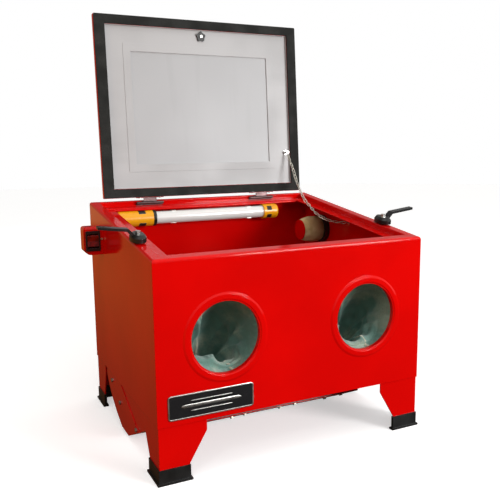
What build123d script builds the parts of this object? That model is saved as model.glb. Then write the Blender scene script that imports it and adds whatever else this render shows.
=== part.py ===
"""Benchtop sandblast cabinet: a folded steel box on four legs, with a gasketed lid on two hinges.

Frame: +Z up, +X to the cabinet's right as its user stands before it, +Y to the back. The origin is on the
floor under the middle of the whole outline. Shapes are drawn in the body's own measures: depth is counted
from the front face, height from the body's bottom edge, and lid measures from the lid's hinge edge.
"""

from build123d import *
import os
from math import atan2, cos, degrees, radians, sin, tan

# ---- driving dimensions, mm and degrees -------------------------------------------------------------
WIDTH = 584.0  # body, outside
DEPTH = 474.5
FRONT_HEIGHT = 305.7  # body's bottom edge to the front rim
SLOPE = 7.82  # the rim falls towards the user by this angle
LEG_HEIGHT = 109.0  # floor to the body's bottom edge
SHEET = 1.5

RIM_FLAT = 21.0  # flat top of the side rims
RIM_LEDGE = 27.0  # ledge that carries the lid's gasket
RIM_STEP = 12.0  # drop from the flat to the ledge
RIM_RATIO = 1.1  # the front rim's widths over the side rims' widths
RIM_BEND = 5.0
RIM_SKIRT = 14.0  # wall made in one piece with the rim's bend
REAR_LIP = 10.9  # flat top of the rear wall
RAIL_WIDTH = 27.0  # rear ledge, from the rear step to its folded edge
RAIL_GROOVE = 10.0  # lowered strip along the rear ledge's edge
RAIL_DROP = 1.6
RAIL_HEM = 3.5

LID_WIDTH = 524.5
LID_LENGTH = 422.4
LID_LEAN = 4.0  # open lid leans back from upright
LID_DEPTH = 14.0  # gasket face to outer skin
GASKET = 4.0
GASKET_WIDTH = 25.5
GASKET_ENDS = 22.0  # gasket band along the lid's hinge and free edges
GASKET_REST = 0.3  # gap left under the gasket when the lid is shut
PANE_THICK = 3.0
WINDOW_WIDTH = 356.0
WINDOW_LENGTH = 263.0
WINDOW_FROM = 79.0  # hinge edge to the window
FRAME_BAND = 18.0
FRAME_THICK = 0.8

PIVOT_OFF = 13.0  # hinge axis beyond the lid's hinge edge
PIVOT_DEEP = 8.0  # hinge axis behind the gasket's face
HINGE_AT = 150.0
HINGE_LENGTH = 66.0
KNUCKLE_R = 3.5
PIN_R = 1.5
RUN_FIT = 0.05  # radial running clearance
GAP = 0.3  # clearance between parts that move past each other

PORT_AT = 155.0  # glove ports, out from the centre
PORT_HEIGHT = 151.0
PORT_R = 68.5
PORT_LIP = 9.0
RING_R = 85.0
RING_RISE = 1.6
GLOVE_WALL = 2.0

PLATE_LEFT = 271.6
PLATE_WIDTH = 170.0
PLATE_LOW = 10.0
PLATE_HEIGHT = 47.0
PLATE_THICK = 1.2

LEG_SHEET = 2.0
LEG_TOP = 94.0
LEG_FOOT = 58.0
LEG_STRAIGHT = 20.0  # height of the leg's upright edge below the body
LEG_TAB = 30.0  # part of the leg inside the body
REAR_LEG_SIDE = 76.0
FOOT_WALL = 2.0
FOOT_HEIGHT = 29.0
FOOT_BASE = 5.0
FOOT_LIP = 3.0

HOPPER_LOW = 101.0  # hopper's flat bottom, below the body's bottom edge
HOPPER_LIP = 18.0
COVER_HALF = 222.0
COVER_LENGTH = 100.0
COVER_BOLT_PITCH = 121.0
COVER_BOLT_IN = 12.0  # bolt rows, in from the cover's long edges
COVER_LAP_X = 25.0  # cover beyond the clean-out opening
COVER_LAP_Y = 23.0
STRIP_THICK = 3.0
SEAT = 0.05  # gap between faces that are drawn together
BOLT_R = 2.4
BOLT_HEAD_R = 4.6
BOLT_HEAD_HIGH = 3.2
BOLT_FIT = 0.1  # radial, bolt in its hole
RIM_SCREW_IN = 37.0  # rear rail's screws, in from the side walls

GRATE_THICK = 2.0
SLOT_LENGTH = 62.0
SLOT_WIDTH = 11.0

LAMP_Y = 442.0
LAMP_Z = 329.5
LAMP_TUBE_R = 15.0
LAMP_CAP_R = 18.5
LAMP_LEFT = -238.0
LAMP_RIGHT = 184.0
LAMP_LEFT_CAP = 88.0
LAMP_RIGHT_CAP = 42.0

FILTER_Y = 382.0
FILTER_Z = 283.0
FILTER_DISC_R = 25.5
FILTER_MID_R = 33.0
FILTER_BASE_R = 35.0
FILTER_REACH = 221.0  # X of the end plate's outer face
FILTER_ROD_R = 3.0
EXHAUST_R = 18.0

BOX_WIDTH = 42.0
BOX_DEPTH = 34.0
BOX_LOW = 266.0
BOX_HIGH = 327.0
BOX_FRONT = 350.0
BOX_ROUND = 6.0
ROCKER_WIDTH = 24.0
ROCKER_R = 15.0

LATCH_Y = 118.0
LATCH_IN = 11.0  # latch's axis, in from the side wall
CAM_LONG = 46.0
CAM_WIDE = 31.0
CAM_UNDER = 3.0  # cam's underside, above the rim flat
CAM_SHOULDER = 11.0  # height where the cam's side starts to slope in
CAM_TOP = 17.0
BOSS_R = 13.0
ARM_REACH = 76.0
ARM_ROOT = 8.0  # where the arm leaves the cam, out from the latch's axis
ARM_ELBOW = 19.0
ELBOW_RISE = 25.0
TIP_RISE = 32.0
ARM_THICK = 5.0
ARM_WIDTH = 13.0
LATCH_SCREW_R = 3.0
LATCH_HEAD_R = 5.5
LATCH_HEAD_HIGH = 4.5
LATCH_SHANK = 10.0  # screw below the rim's flat

KNOB_V = 385.0
KNOB_R = 14.0
STUD_R = 3.0
NUT_R = 5.0
NUT_HIGH = 5.0
CHAIN_R = 2.4
INLET_BORE_R = 5.6
INLET_LENGTH = 12.0

# ---- worked-out places -------------------------------------------------------------------------------
HALF = WIDTH / 2
TILT = radians(SLOPE)
LEAN = radians(LID_LEAN)
REAR_HEIGHT = FRONT_HEIGHT + DEPTH * tan(TILT)
SLOPE_LENGTH = DEPTH / cos(TILT)
STEP_S = SLOPE_LENGTH - REAR_LIP  # rear step wall, measured down the slope from the front edge
PIVOT_S = STEP_S - SHEET - KNUCKLE_R - 1.0
PIVOT_H = PIVOT_DEEP + GASKET_REST - RIM_STEP
FRONT_FLAT = RIM_FLAT * RIM_RATIO
FRONT_LEDGE = RIM_LEDGE * RIM_RATIO
CLOSING = 90.0 + SLOPE + LID_LEAN  # lid's travel, open to shut
HINGE_Y = PIVOT_S * cos(TILT) - PIVOT_H * sin(TILT)
HINGE_Z = FRONT_HEIGHT + PIVOT_S * sin(TILT) + PIVOT_H * cos(TILT)
LID_Y = HINGE_Y + PIVOT_OFF * sin(LEAN) - PIVOT_DEEP * cos(LEAN)
LID_Z = HINGE_Z + PIVOT_OFF * cos(LEAN) + PIVOT_DEEP * sin(LEAN)
KNOB_DEEP = LID_DEPTH + KNOB_R + 4.0
KNOB_BACK = LID_Y + KNOB_V * sin(LEAN) + KNOB_DEEP * cos(LEAN) + KNOB_R
FOOT_OUT = FOOT_WALL - SHEET
FRONT_REACH = FOOT_OUT + FOOT_LIP  # the feet's lips stand furthest forward
FRONT_Y = -(KNOB_BACK - FRONT_REACH) / 2  # centres the outline on the origin
INNER = HALF - SHEET
LATCH_X = HALF - LATCH_IN
TRAY_FACE = LID_DEPTH - SHEET * 2 - PANE_THICK  # pale inner tray, below the gasket's face
STRIP_FROM = SHEET / 2 + SEAT  # clean-out gasket, from the middle of the hopper's sheet
COVER_FROM = STRIP_FROM + STRIP_THICK

os.makedirs("parts", exist_ok=True)


def save(piece: BuildPart, name: str) -> None:
    """Labels a finished piece and writes it."""
    piece.part.label = name
    export_step(piece.part, f"parts/{name}.step")


def level(height: float) -> Plane:
    """Level plane at a height above the body's bottom edge: local x is X, local y is depth."""
    return Plane(origin=(0, FRONT_Y, LEG_HEIGHT + height), x_dir=(1, 0, 0), z_dir=(0, 0, 1))


def upright(depth: float) -> Plane:
    """Plane facing the user at a depth: local x is X, local y is height."""
    return Plane(origin=(0, FRONT_Y + depth, LEG_HEIGHT), x_dir=(1, 0, 0), z_dir=(0, -1, 0))


def sideways(x: float) -> Plane:
    """Plane facing +X: local x is depth, local y is height."""
    return Plane(origin=(x, FRONT_Y, LEG_HEIGHT), x_dir=(0, 1, 0), z_dir=(1, 0, 0))


def rim(rise: float) -> Plane:
    """Plane along the sloping rim, a rise above its flat: local x is X, local y runs up the slope."""
    up = (0, -sin(TILT), cos(TILT))
    origin = (0, FRONT_Y + up[1] * rise, LEG_HEIGHT + FRONT_HEIGHT + up[2] * rise)
    return Plane(origin=origin, x_dir=(1, 0, 0), z_dir=up)


def rim_section() -> Plane:
    """Section across the side rims at the front edge: local x is X, local y is the rise above the flat."""
    origin = (0, FRONT_Y, LEG_HEIGHT + FRONT_HEIGHT)
    return Plane(origin=origin, x_dir=(1, 0, 0), z_dir=(0, -cos(TILT), -sin(TILT)))


def rim_side(x: float) -> Plane:
    """Section along the slope at an X: local x runs up the slope, local y is the rise above the flat."""
    origin = (x, FRONT_Y, LEG_HEIGHT + FRONT_HEIGHT)
    return Plane(origin=origin, x_dir=(0, cos(TILT), sin(TILT)), z_dir=(1, 0, 0))


def lid(deep: float) -> Plane:
    """Plane of the open lid, deep behind the gasket's face: local x is X, local y runs from the hinge."""
    back = (0, cos(LEAN), -sin(LEAN))
    origin = (0, FRONT_Y + LID_Y + back[1] * deep, LEG_HEIGHT + LID_Z + back[2] * deep)
    return Plane(origin=origin, x_dir=(1, 0, 0), z_dir=(0, -back[1], -back[2]))


def lid_side(x: float) -> Plane:
    """Section of the open lid at an X: local x runs from the hinge edge, local y is depth behind the face."""
    up = (0, sin(LEAN), cos(LEAN))
    return Plane(origin=(x, FRONT_Y + LID_Y, LEG_HEIGHT + LID_Z), x_dir=up, z_dir=(-1, 0, 0))


# ---- body panels -------------------------------------------------------------------------------------
def mitre(side: int) -> list:
    """Ground plan, in the rim plane, of the side rim between its mitre and the rear."""
    run = (RIM_FLAT + RIM_LEDGE + RIM_FLAT) / (RIM_FLAT + RIM_LEDGE)
    inner = HALF - (RIM_FLAT + RIM_LEDGE) * run
    far = (FRONT_FLAT + FRONT_LEDGE) * run
    return [(side * HALF, 0), (side * inner, far), (side * inner, SLOPE_LENGTH), (side * HALF, SLOPE_LENGTH)]


def side_panel(side: int) -> BuildPart:
    """A side wall with its folded rim: outer bend, flat, step and ledge."""
    mid = SHEET / 2
    outer = HALF - mid
    step = HALF - RIM_FLAT - mid
    edge = HALF - RIM_FLAT - RIM_LEDGE
    path = [
        (side * outer, -RIM_BEND - RIM_SKIRT),
        (side * outer, -mid),
        (side * step, -mid),
        (side * step, -RIM_STEP - mid),
        (side * edge, -RIM_STEP - mid),
    ]
    with BuildPart() as panel:
        with BuildSketch(rim_section()):
            with BuildLine():
                FilletPolyline(*path, radius=[RIM_BEND - mid, SHEET, SHEET])
            trace(line_width=SHEET)
        extrude(amount=-SLOPE_LENGTH)
        with BuildSketch(rim(RIM_STEP)):
            with BuildLine():
                Polyline(*mitre(side), close=True)
            make_face()
        extrude(amount=-RIM_STEP * 4, mode=Mode.INTERSECT)
        with BuildSketch(sideways(side * HALF)):
            top = FRONT_HEIGHT - RIM_BEND - RIM_SKIRT / 2
            rise = (DEPTH - SHEET * 2) * tan(TILT)
            with BuildLine():
                Polyline((SHEET, 0), (DEPTH - SHEET, 0), (DEPTH - SHEET, top + rise), (SHEET, top), close=True)
            make_face()
        extrude(amount=-side * SHEET)
        # the rear wall and its lip close the back end, and the rear rail closes the ledge
        with BuildSketch(level(0)):
            with Locations((0, DEPTH - SHEET + RAIL_WIDTH / 2)):
                Rectangle(WIDTH * 2, RAIL_WIDTH)
        extrude(amount=REAR_HEIGHT * 2, mode=Mode.SUBTRACT)
        with BuildSketch(rim(-RIM_FLAT / 4)):
            ledge_end = STEP_S - RAIL_WIDTH - GAP
            with Locations((side * (HALF - RIM_FLAT - SHEET - RIM_LEDGE / 2), (ledge_end + SLOPE_LENGTH) / 2)):
                Rectangle(RIM_LEDGE, SLOPE_LENGTH - ledge_end)
        extrude(amount=-RIM_STEP * 2, mode=Mode.SUBTRACT)
        for x, y, z, radius, axis in side_holes(side):
            with Locations(Location((x, y, z), axis)):
                Cylinder(radius, SHEET * 4, mode=Mode.SUBTRACT)
    return panel


def body_point(x: float, depth: float, height: float) -> tuple:
    """A point of the body's own measures in the part's frame."""
    return (x, FRONT_Y + depth, LEG_HEIGHT + height)


def rim_point(x: float, along: float, rise: float) -> tuple:
    """A point given along the slope and above the rim's flat, in the part's frame."""
    depth = along * cos(TILT) - rise * sin(TILT)
    return body_point(x, depth, FRONT_HEIGHT + along * sin(TILT) + rise * cos(TILT))


LATCH_S = LATCH_Y / cos(TILT)
ANCHOR = (INNER, 262.0, 310.0)
INLET = (INNER, 420.0, 60.0)


def side_holes(side: int) -> list:
    """Holes through a side panel: latch screw, and on the right the chain eye, the exhaust and the air inlet."""
    holes = [(*rim_point(side * LATCH_X, LATCH_S, 0), LATCH_SCREW_R + GAP, (SLOPE, 0, 0))]
    across = (0, 90, 0)
    if side > 0:
        holes.append((*body_point(*ANCHOR), STUD_R - 0.5, across))
        holes.append((*body_point(INNER, FILTER_Y, FILTER_Z), EXHAUST_R, across))
        holes.append((*body_point(*INLET), INLET_BORE_R + 3.0, across))
    return holes


save(side_panel(-1), "left_side_panel")
save(side_panel(1), "right_side_panel")

with BuildPart() as front_panel:
    mid = SHEET / 2
    front_step = FRONT_FLAT + mid
    front_edge = FRONT_FLAT + FRONT_LEDGE
    with BuildSketch(rim_side(-HALF)):
        with BuildLine():
            FilletPolyline(
                (mid, -RIM_BEND * 2),
                (mid, -mid),
                (front_step, -mid),
                (front_step, -RIM_STEP - mid),
                (front_edge, -RIM_STEP - mid),
                radius=[RIM_BEND - mid, SHEET, SHEET],
            )
        trace(line_width=SHEET)
    extrude(amount=WIDTH)
    with BuildSketch(rim(RIM_STEP)):
        far = HALF / (RIM_FLAT + RIM_LEDGE) * (FRONT_FLAT + FRONT_LEDGE)
        with BuildLine():
            Polyline((-HALF, 0), (HALF, 0), (0, far), close=True)
        make_face()
    extrude(amount=-RIM_STEP * 3, mode=Mode.INTERSECT)
    with BuildSketch(upright(0)):
        with BuildLine():
            low, high = 0, FRONT_HEIGHT - RIM_BEND
            Polyline((-HALF, low), (HALF, low), (HALF, high), (-HALF, high), close=True)
        make_face()
    extrude(amount=-SHEET)
    # pressed ring round each port, then the opening with its inward-turned lip
    for x in (-PORT_AT, PORT_AT):
        ring = Plane(origin=body_point(x, 0, PORT_HEIGHT), x_dir=(1, 0, 0), z_dir=(0, -1, 0))
        with BuildSketch(ring.offset(-SHEET)):
            Circle(PORT_R)
        extrude(amount=SHEET, mode=Mode.SUBTRACT)
        with BuildSketch(Plane(origin=body_point(x, 0, PORT_HEIGHT), x_dir=(1, 0, 0), z_dir=(0, 0, 1))):
            with BuildLine():
                shoulder = RING_R - 4.0
                Polyline(
                    (RING_R, 0),
                    (shoulder, -RING_RISE),
                    (PORT_R + 4.0, -RING_RISE),
                    (PORT_R, RING_RISE),
                    (PORT_R, PORT_LIP),
                    (PORT_R + SHEET, PORT_LIP),
                    (PORT_R + SHEET, SHEET),
                    (RING_R, SHEET),
                    close=True,
                )
            make_face()
        revolve(axis=Axis(body_point(x, 0, PORT_HEIGHT), (0, 1, 0)))
save(front_panel, "front_panel")

with BuildPart() as rear_panel:
    mid = SHEET / 2
    with BuildSketch(upright(DEPTH)):
        with BuildLine():
            high = REAR_HEIGHT - RIM_BEND - 1.0
            Polyline((-HALF, 0), (HALF, 0), (HALF, high), (-HALF, high), close=True)
        make_face()
    extrude(amount=SHEET)
    with BuildSketch(rim_side(-HALF)):
        with BuildLine():
            FilletPolyline(
                (SLOPE_LENGTH - mid - 1.0, -RIM_BEND * 2),
                (SLOPE_LENGTH - mid, -mid),
                (STEP_S + mid, -mid),
                (STEP_S + mid, -RIM_STEP - SHEET - mid),
                (STEP_S - RAIL_GROOVE, -RIM_STEP - SHEET - mid),
                radius=[SHEET, SHEET, SHEET],
            )
        trace(line_width=SHEET)
    extrude(amount=WIDTH)
    # between the side rims' flats the lip runs full width; below them it stops at the side walls
    for side in (-1, 1):
        with BuildSketch(level(0)):
            with Locations((side * (HALF - (RIM_FLAT + SHEET) / 2), (DEPTH - SHEET) / 2)):
                Rectangle(RIM_FLAT + SHEET, DEPTH - SHEET)
        extrude(amount=REAR_HEIGHT * 2, mode=Mode.SUBTRACT)
        with BuildSketch(rim_section()):
            with Locations((side * (HALF - RIM_BEND / 2), -RIM_BEND / 2)):
                Rectangle(RIM_BEND, RIM_BEND)
            with Locations((side * (HALF - RIM_BEND), -RIM_BEND)):
                Circle(RIM_BEND, mode=Mode.SUBTRACT)
        extrude(amount=-SLOPE_LENGTH - RIM_STEP, mode=Mode.SUBTRACT)
save(rear_panel, "rear_panel")

RIM_SCREWS_X = (RIM_SCREW_IN - HALF, HALF - RIM_SCREW_IN)

with BuildPart() as rear_rail:
    mid = SHEET / 2
    rail_half = HALF - RIM_FLAT - SHEET - GAP
    edge = STEP_S - RAIL_WIDTH
    with BuildSketch(rim_side(-rail_half)):
        with BuildLine():
            FilletPolyline(
                (STEP_S - SHEET * 2, -RIM_STEP - mid),
                (edge + RAIL_GROOVE, -RIM_STEP - mid),
                (edge + RAIL_GROOVE - 1.5, -RIM_STEP - mid - RAIL_DROP),
                (edge + mid, -RIM_STEP - mid - RAIL_DROP),
                (edge + mid, -RIM_STEP - RAIL_DROP - RAIL_HEM),
                radius=[mid + SEAT, mid + SEAT, mid + SHEET / 6],
            )
        trace(line_width=SHEET)
    extrude(amount=rail_half * 2)
    # notched front corners, rounded, over the side ledges
    for side in (-1, 1):
        with BuildSketch(rim(-RIM_FLAT / 4)):
            with Locations((side * rail_half, edge)):
                Circle(RIM_LEDGE / 4)
        extrude(amount=-RIM_STEP * 3, mode=Mode.SUBTRACT)
    for x in RIM_SCREWS_X:
        with Locations(Location(rim_point(x, STEP_S - RAIL_WIDTH / 3, -RIM_STEP), (SLOPE, 0, 0))):
            Cylinder(STUD_R, SHEET * 3, mode=Mode.SUBTRACT)
save(rear_rail, "rear_rim_rail")

with BuildPart() as rim_screws:
    for x in RIM_SCREWS_X:
        with BuildSketch(Plane(rim(-RIM_STEP).origin, x_dir=(1, 0, 0), z_dir=rim(0).z_dir)):
            with Locations((x, STEP_S - RAIL_WIDTH / 3)):
                Circle(STUD_R)
        extrude(amount=GAP - SHEET)
save(rim_screws, "rim_screws")

# ---- glove ports -------------------------------------------------------------------------------------
SLEEVE_R = PORT_R + SHEET + GLOVE_WALL  # the cuff is clamped round the port's inward lip
CUFF_FROM = RING_RISE + SHEET
CUFF_TO = PORT_LIP + 8.0
GLOVE_PATH = [
    # depth, height, tilt of the section from upright, radius
    (CUFF_TO, PORT_HEIGHT, 0.0, SLEEVE_R),
    (46.0, PORT_HEIGHT - 5.0, -16.0, SLEEVE_R - 3.0),
    (78.0, PORT_HEIGHT - 27.0, -46.0, SLEEVE_R - 10.0),
    (100.0, PORT_HEIGHT - 60.0, -66.0, SLEEVE_R - 20.0),
    (113.0, PORT_HEIGHT - 98.0, -80.0, SLEEVE_R - 34.0),
]
HAND_HALF = 34.0
HAND = [
    # depth and height round the flattened hand on the grate
    (92.0, HOPPER_LIP + GRATE_THICK + 1.0),
    (192.0, HOPPER_LIP + GRATE_THICK + 1.0),
    (198.0, HOPPER_LIP + GRATE_THICK + 8.0),
    (190.0, HOPPER_LIP + GRATE_THICK + 15.0),
    (152.0, HOPPER_LIP + GRATE_THICK + 22.0),
    (134.0, HOPPER_LIP + GRATE_THICK + 36.0),
    (92.0, HOPPER_LIP + GRATE_THICK + 36.0),
]


def sleeve(x: float, inset: float) -> Part:
    """Closed drooping sleeve through its ring sections, smaller than the outside by the inset."""
    with BuildPart(mode=Mode.PRIVATE) as cloth:
        for number, (depth, height, turn, radius) in enumerate(GLOVE_PATH):
            last = number == len(GLOVE_PATH) - 1
            lift = inset * 2 if last else 0
            axis = (0, cos(radians(turn)), sin(radians(turn)))
            place = body_point(x, depth, height + lift)
            with BuildSketch(Plane(origin=place, x_dir=(1, 0, 0), z_dir=axis)):
                Circle(radius - inset)
        loft()
    return cloth.part


def port_plane(x: float, depth: float) -> Plane:
    """Plane across a glove port, facing into the cabinet."""
    return Plane(origin=body_point(x, depth, PORT_HEIGHT), x_dir=(1, 0, 0), z_dir=(0, 1, 0))


for side, name in ((-1, "left_glove"), (1, "right_glove")):
    with BuildPart() as glove:
        with BuildSketch(sideways(side * PORT_AT)):
            with BuildLine():
                Polyline(*HAND, close=True)
            make_face()
        extrude(amount=HAND_HALF, both=True)
        add(sleeve(side * PORT_AT, 0))
        add(sleeve(side * PORT_AT, GLOVE_WALL), mode=Mode.SUBTRACT)
        with BuildSketch(port_plane(side * PORT_AT, CUFF_FROM)):
            Circle(SLEEVE_R)
            Circle(SLEEVE_R - GLOVE_WALL, mode=Mode.SUBTRACT)
        extrude(amount=CUFF_TO - CUFF_FROM)
    save(glove, name)

with BuildPart() as glove_clamps:
    for x in (-PORT_AT, PORT_AT):
        with BuildSketch(port_plane(x, CUFF_FROM)):
            Circle(SLEEVE_R + 1.2)
            with Locations((0, -SLEEVE_R - 4.5)):
                Rectangle(14.0, 8.0)
            Circle(SLEEVE_R, mode=Mode.SUBTRACT)
        extrude(amount=9.0)
save(glove_clamps, "glove_clamps")

with BuildPart() as name_plate:
    with BuildSketch(upright(0)):
        with Locations((PLATE_WIDTH / 2 - PLATE_LEFT, PLATE_LOW + PLATE_HEIGHT / 2)):
            RectangleRounded(PLATE_WIDTH, PLATE_HEIGHT, 6.0)
    extrude(amount=PLATE_THICK)
save(name_plate, "name_plate")

# ---- legs and feet -----------------------------------------------------------------------------------
FOOT_TOP = FOOT_HEIGHT - LEG_HEIGHT
LEG_END = FOOT_BASE - LEG_HEIGHT
STUDS_X = (210.0, 262.0)
STUD_Z = 10.0
STACK = LEG_SHEET + GAP + SHEET  # leg tab, clearance and hopper lip under each leg nut


def flange_outline(corner: float, way: int, width: float) -> list:
    """Outline of one leg flange, from the corner the given way, with its tapering edge."""
    return [
        (corner, LEG_TAB),
        (corner + way * width, LEG_TAB),
        (corner + way * width, -LEG_STRAIGHT),
        (corner + way * LEG_FOOT, FOOT_TOP),
        (corner + way * LEG_FOOT, LEG_END),
        (corner, LEG_END),
    ]


def leg(side: int, rear: bool) -> BuildPart:
    """An L-section leg whose tab stands inside the body's corner."""
    turn = -1 if rear else 1
    corner_y = DEPTH - SHEET if rear else SHEET
    side_width = REAR_LEG_SIDE if rear else LEG_TOP - LEG_SHEET * 2
    face = upright(corner_y + (0 if rear else LEG_SHEET))
    wall = sideways(side * INNER - (LEG_SHEET if side > 0 else 0))
    with BuildPart() as piece:
        for plane, corner, way, width in ((face, side * INNER, -side, LEG_TOP), (wall, corner_y, turn, side_width)):
            with BuildSketch(plane):
                with BuildLine():
                    Polyline(*flange_outline(corner, way, width), close=True)
                make_face()
            extrude(amount=LEG_SHEET)
        for x in STUDS_X:
            with Locations(Location(body_point(side * x, corner_y + turn * LEG_SHEET / 2, STUD_Z), (90, 0, 0))):
                Cylinder(STUD_R + GAP, LEG_SHEET * 2, mode=Mode.SUBTRACT)
    return piece


for side, word in ((-1, "left"), (1, "right")):
    save(leg(side, False), f"front_{word}_leg")
    save(leg(side, True), f"rear_{word}_leg")

def foot_outline(side: int, corner_y: float, turn: int, grow: float) -> list:
    """L-shaped ground plan round a leg's two flanges, grown outwards on every side."""
    far, near = LEG_FOOT + grow, LEG_SHEET + grow
    plan = [(-grow, -grow), (far, -grow), (far, near), (near, near), (near, far), (-grow, far)]
    return [(side * (INNER - inward), corner_y + turn * along) for inward, along in plan]


with BuildPart() as foot_caps:
    for side in (-1, 1):
        for corner_y, turn in ((SHEET, 1), (DEPTH - SHEET, -1)):
            for low, high, grow, mode in (
                (-LEG_HEIGHT, FOOT_HEIGHT, FOOT_WALL, Mode.ADD),
                (-LEG_HEIGHT, FOOT_LIP + 1.0, FOOT_WALL + FOOT_LIP, Mode.ADD),
                (LEG_END, FOOT_HEIGHT, 0.0, Mode.SUBTRACT),
            ):
                with BuildSketch(level(low)):
                    with BuildLine():
                        Polyline(*foot_outline(side, corner_y, turn, grow), close=True)
                    make_face()
                extrude(amount=high, mode=mode)
save(foot_caps, "foot_caps")

# ---- hopper ------------------------------------------------------------------------------------------
TROUGH_FRONT = SHEET + LEG_SHEET + GAP
TROUGH_BACK = DEPTH - TROUGH_FRONT
TROUGH_HALF = INNER - LEG_SHEET - GAP - SHEET
FLOOR_FRONT = 214.0
FLOOR_BACK = 266.0
REAR_TOP = 399.0
HOPPER_REAR = [(FLOOR_BACK, -HOPPER_LOW), (311.0, -81.0), (343.0, -61.0), (366.0, -41.0), (REAR_TOP, 0.0)]
FRONT_DROP = (HOPPER_LOW + 3.0) / (FLOOR_FRONT - TROUGH_FRONT)
FRONT_TURN = degrees(atan2(FRONT_DROP, 1.0))


def slope_point(x: float, depth: float, out: float) -> tuple:
    """A point under the hopper's front slope, out from its lower face, in the part's frame."""
    turn = radians(FRONT_TURN)
    height = 3.0 - FRONT_DROP * (depth - TROUGH_FRONT)
    return body_point(x, depth - out * sin(turn), height - out * cos(turn))


def slope_plane(out: float) -> Plane:
    """Plane under the hopper's front slope at the middle of the clean-out cover."""
    facing = (0, -sin(radians(FRONT_TURN)), -cos(radians(FRONT_TURN)))
    middle = slope_point(0, FLOOR_FRONT - COVER_LENGTH / 2, out)
    return Plane(origin=middle, x_dir=(1, 0, 0), z_dir=facing)


COVER_BOLTS = [(x * COVER_BOLT_PITCH / 2, y * (COVER_LENGTH / 2 - COVER_BOLT_IN)) for x in (-3, -1, 1, 3) for y in (-1, 1)]

with BuildPart() as hopper_trough:
    mid = SHEET / 2
    with BuildSketch(sideways(-TROUGH_HALF)):
        with BuildLine():
            FilletPolyline(
                (TROUGH_FRONT + mid, HOPPER_LIP),
                (TROUGH_FRONT + mid, 3.0 + mid),
                (FLOOR_FRONT, -HOPPER_LOW + mid),
                (FLOOR_BACK, -HOPPER_LOW + mid),
                *[(depth - mid, height + mid) for depth, height in HOPPER_REAR[1:]],
                (TROUGH_BACK - mid, mid),
                (TROUGH_BACK - mid, HOPPER_LIP),
                radius=2.0,
            )
        trace(line_width=SHEET)
    extrude(amount=TROUGH_HALF * 2)
    # clean-out opening in the front slope
    with BuildSketch(slope_plane(0)):
        Rectangle((COVER_HALF - COVER_LAP_X) * 2, COVER_LENGTH - COVER_LAP_Y * 2)
    extrude(amount=SHEET * 4, both=True, mode=Mode.SUBTRACT)
    with BuildSketch(upright(0)):
        with Locations(*[(side * x, STUD_Z) for side in (-1, 1) for x in STUDS_X]):
            Circle(STUD_R + GAP)
    extrude(amount=-DEPTH, mode=Mode.SUBTRACT)
    with BuildSketch(slope_plane(0)):
        with Locations(*COVER_BOLTS):
            Circle(BOLT_R + BOLT_FIT)
    extrude(amount=SHEET * 2, both=True, mode=Mode.SUBTRACT)
save(hopper_trough, "hopper_trough")


def end_outline(inset: float) -> list:
    """The hopper's end section inside its bent trough."""
    return [
        (TROUGH_FRONT, HOPPER_LIP),
        (TROUGH_FRONT, 3.0 - inset),
        (FLOOR_FRONT - inset, -HOPPER_LOW),
        (FLOOR_BACK, -HOPPER_LOW),
        *HOPPER_REAR[1:],
        (TROUGH_BACK, 0.0),
        (TROUGH_BACK, HOPPER_LIP),
    ]


END_BOLTS = [(334.0, -18.0), (271.0, -48.0), (150.0, -62.0)]


# doubled band along the end plate's low edge, up to its slanting crease
END_BAND = [
    (FLOOR_FRONT, -HOPPER_LOW),
    (FLOOR_BACK, -HOPPER_LOW),
    *HOPPER_REAR[1:4],
    (386.0, -16.0),
    (384.0, -2.0),
    (268.0, -2.0),
    (152.0, -56.0),
    (126.0, -57.5),
]


def hopper_end(side: int) -> BuildPart:
    """An end plate, doubled along its low edge where the bolts pass."""
    with BuildPart() as plate:
        with BuildSketch(sideways(side * TROUGH_HALF)):
            with BuildLine():
                Polyline(*end_outline(0), close=True)
            make_face()
        extrude(amount=side * SHEET)
        with BuildSketch(sideways(side * (TROUGH_HALF + SHEET))):
            with BuildLine():
                Polyline(*END_BAND, close=True)
            make_face()
        extrude(amount=side * SHEET)
        for depth, height in END_BOLTS:
            with Locations(Location(body_point(side * TROUGH_HALF, depth, height), (0, 90, 0))):
                Cylinder(BOLT_R + BOLT_FIT, SHEET * 4, mode=Mode.SUBTRACT)
    return plate


save(hopper_end(-1), "hopper_left_end")
save(hopper_end(1), "hopper_right_end")


with BuildPart() as clean_out_gasket:
    with BuildSketch(slope_plane(STRIP_FROM)):
        Rectangle(COVER_HALF * 2, COVER_LENGTH)
        Rectangle((COVER_HALF - COVER_LAP_X) * 2, COVER_LENGTH - COVER_LAP_Y * 2, mode=Mode.SUBTRACT)
        with Locations(*COVER_BOLTS):
            Circle(BOLT_R + BOLT_FIT, mode=Mode.SUBTRACT)
    extrude(amount=STRIP_THICK)
save(clean_out_gasket, "clean_out_gasket")

with BuildPart() as clean_out_cover:
    with BuildSketch(slope_plane(COVER_FROM)):
        Rectangle(COVER_HALF * 2, COVER_LENGTH)
        with Locations(*COVER_BOLTS):
            Circle(BOLT_R + BOLT_FIT, mode=Mode.SUBTRACT)
    extrude(amount=SHEET)
save(clean_out_cover, "clean_out_cover")

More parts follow.
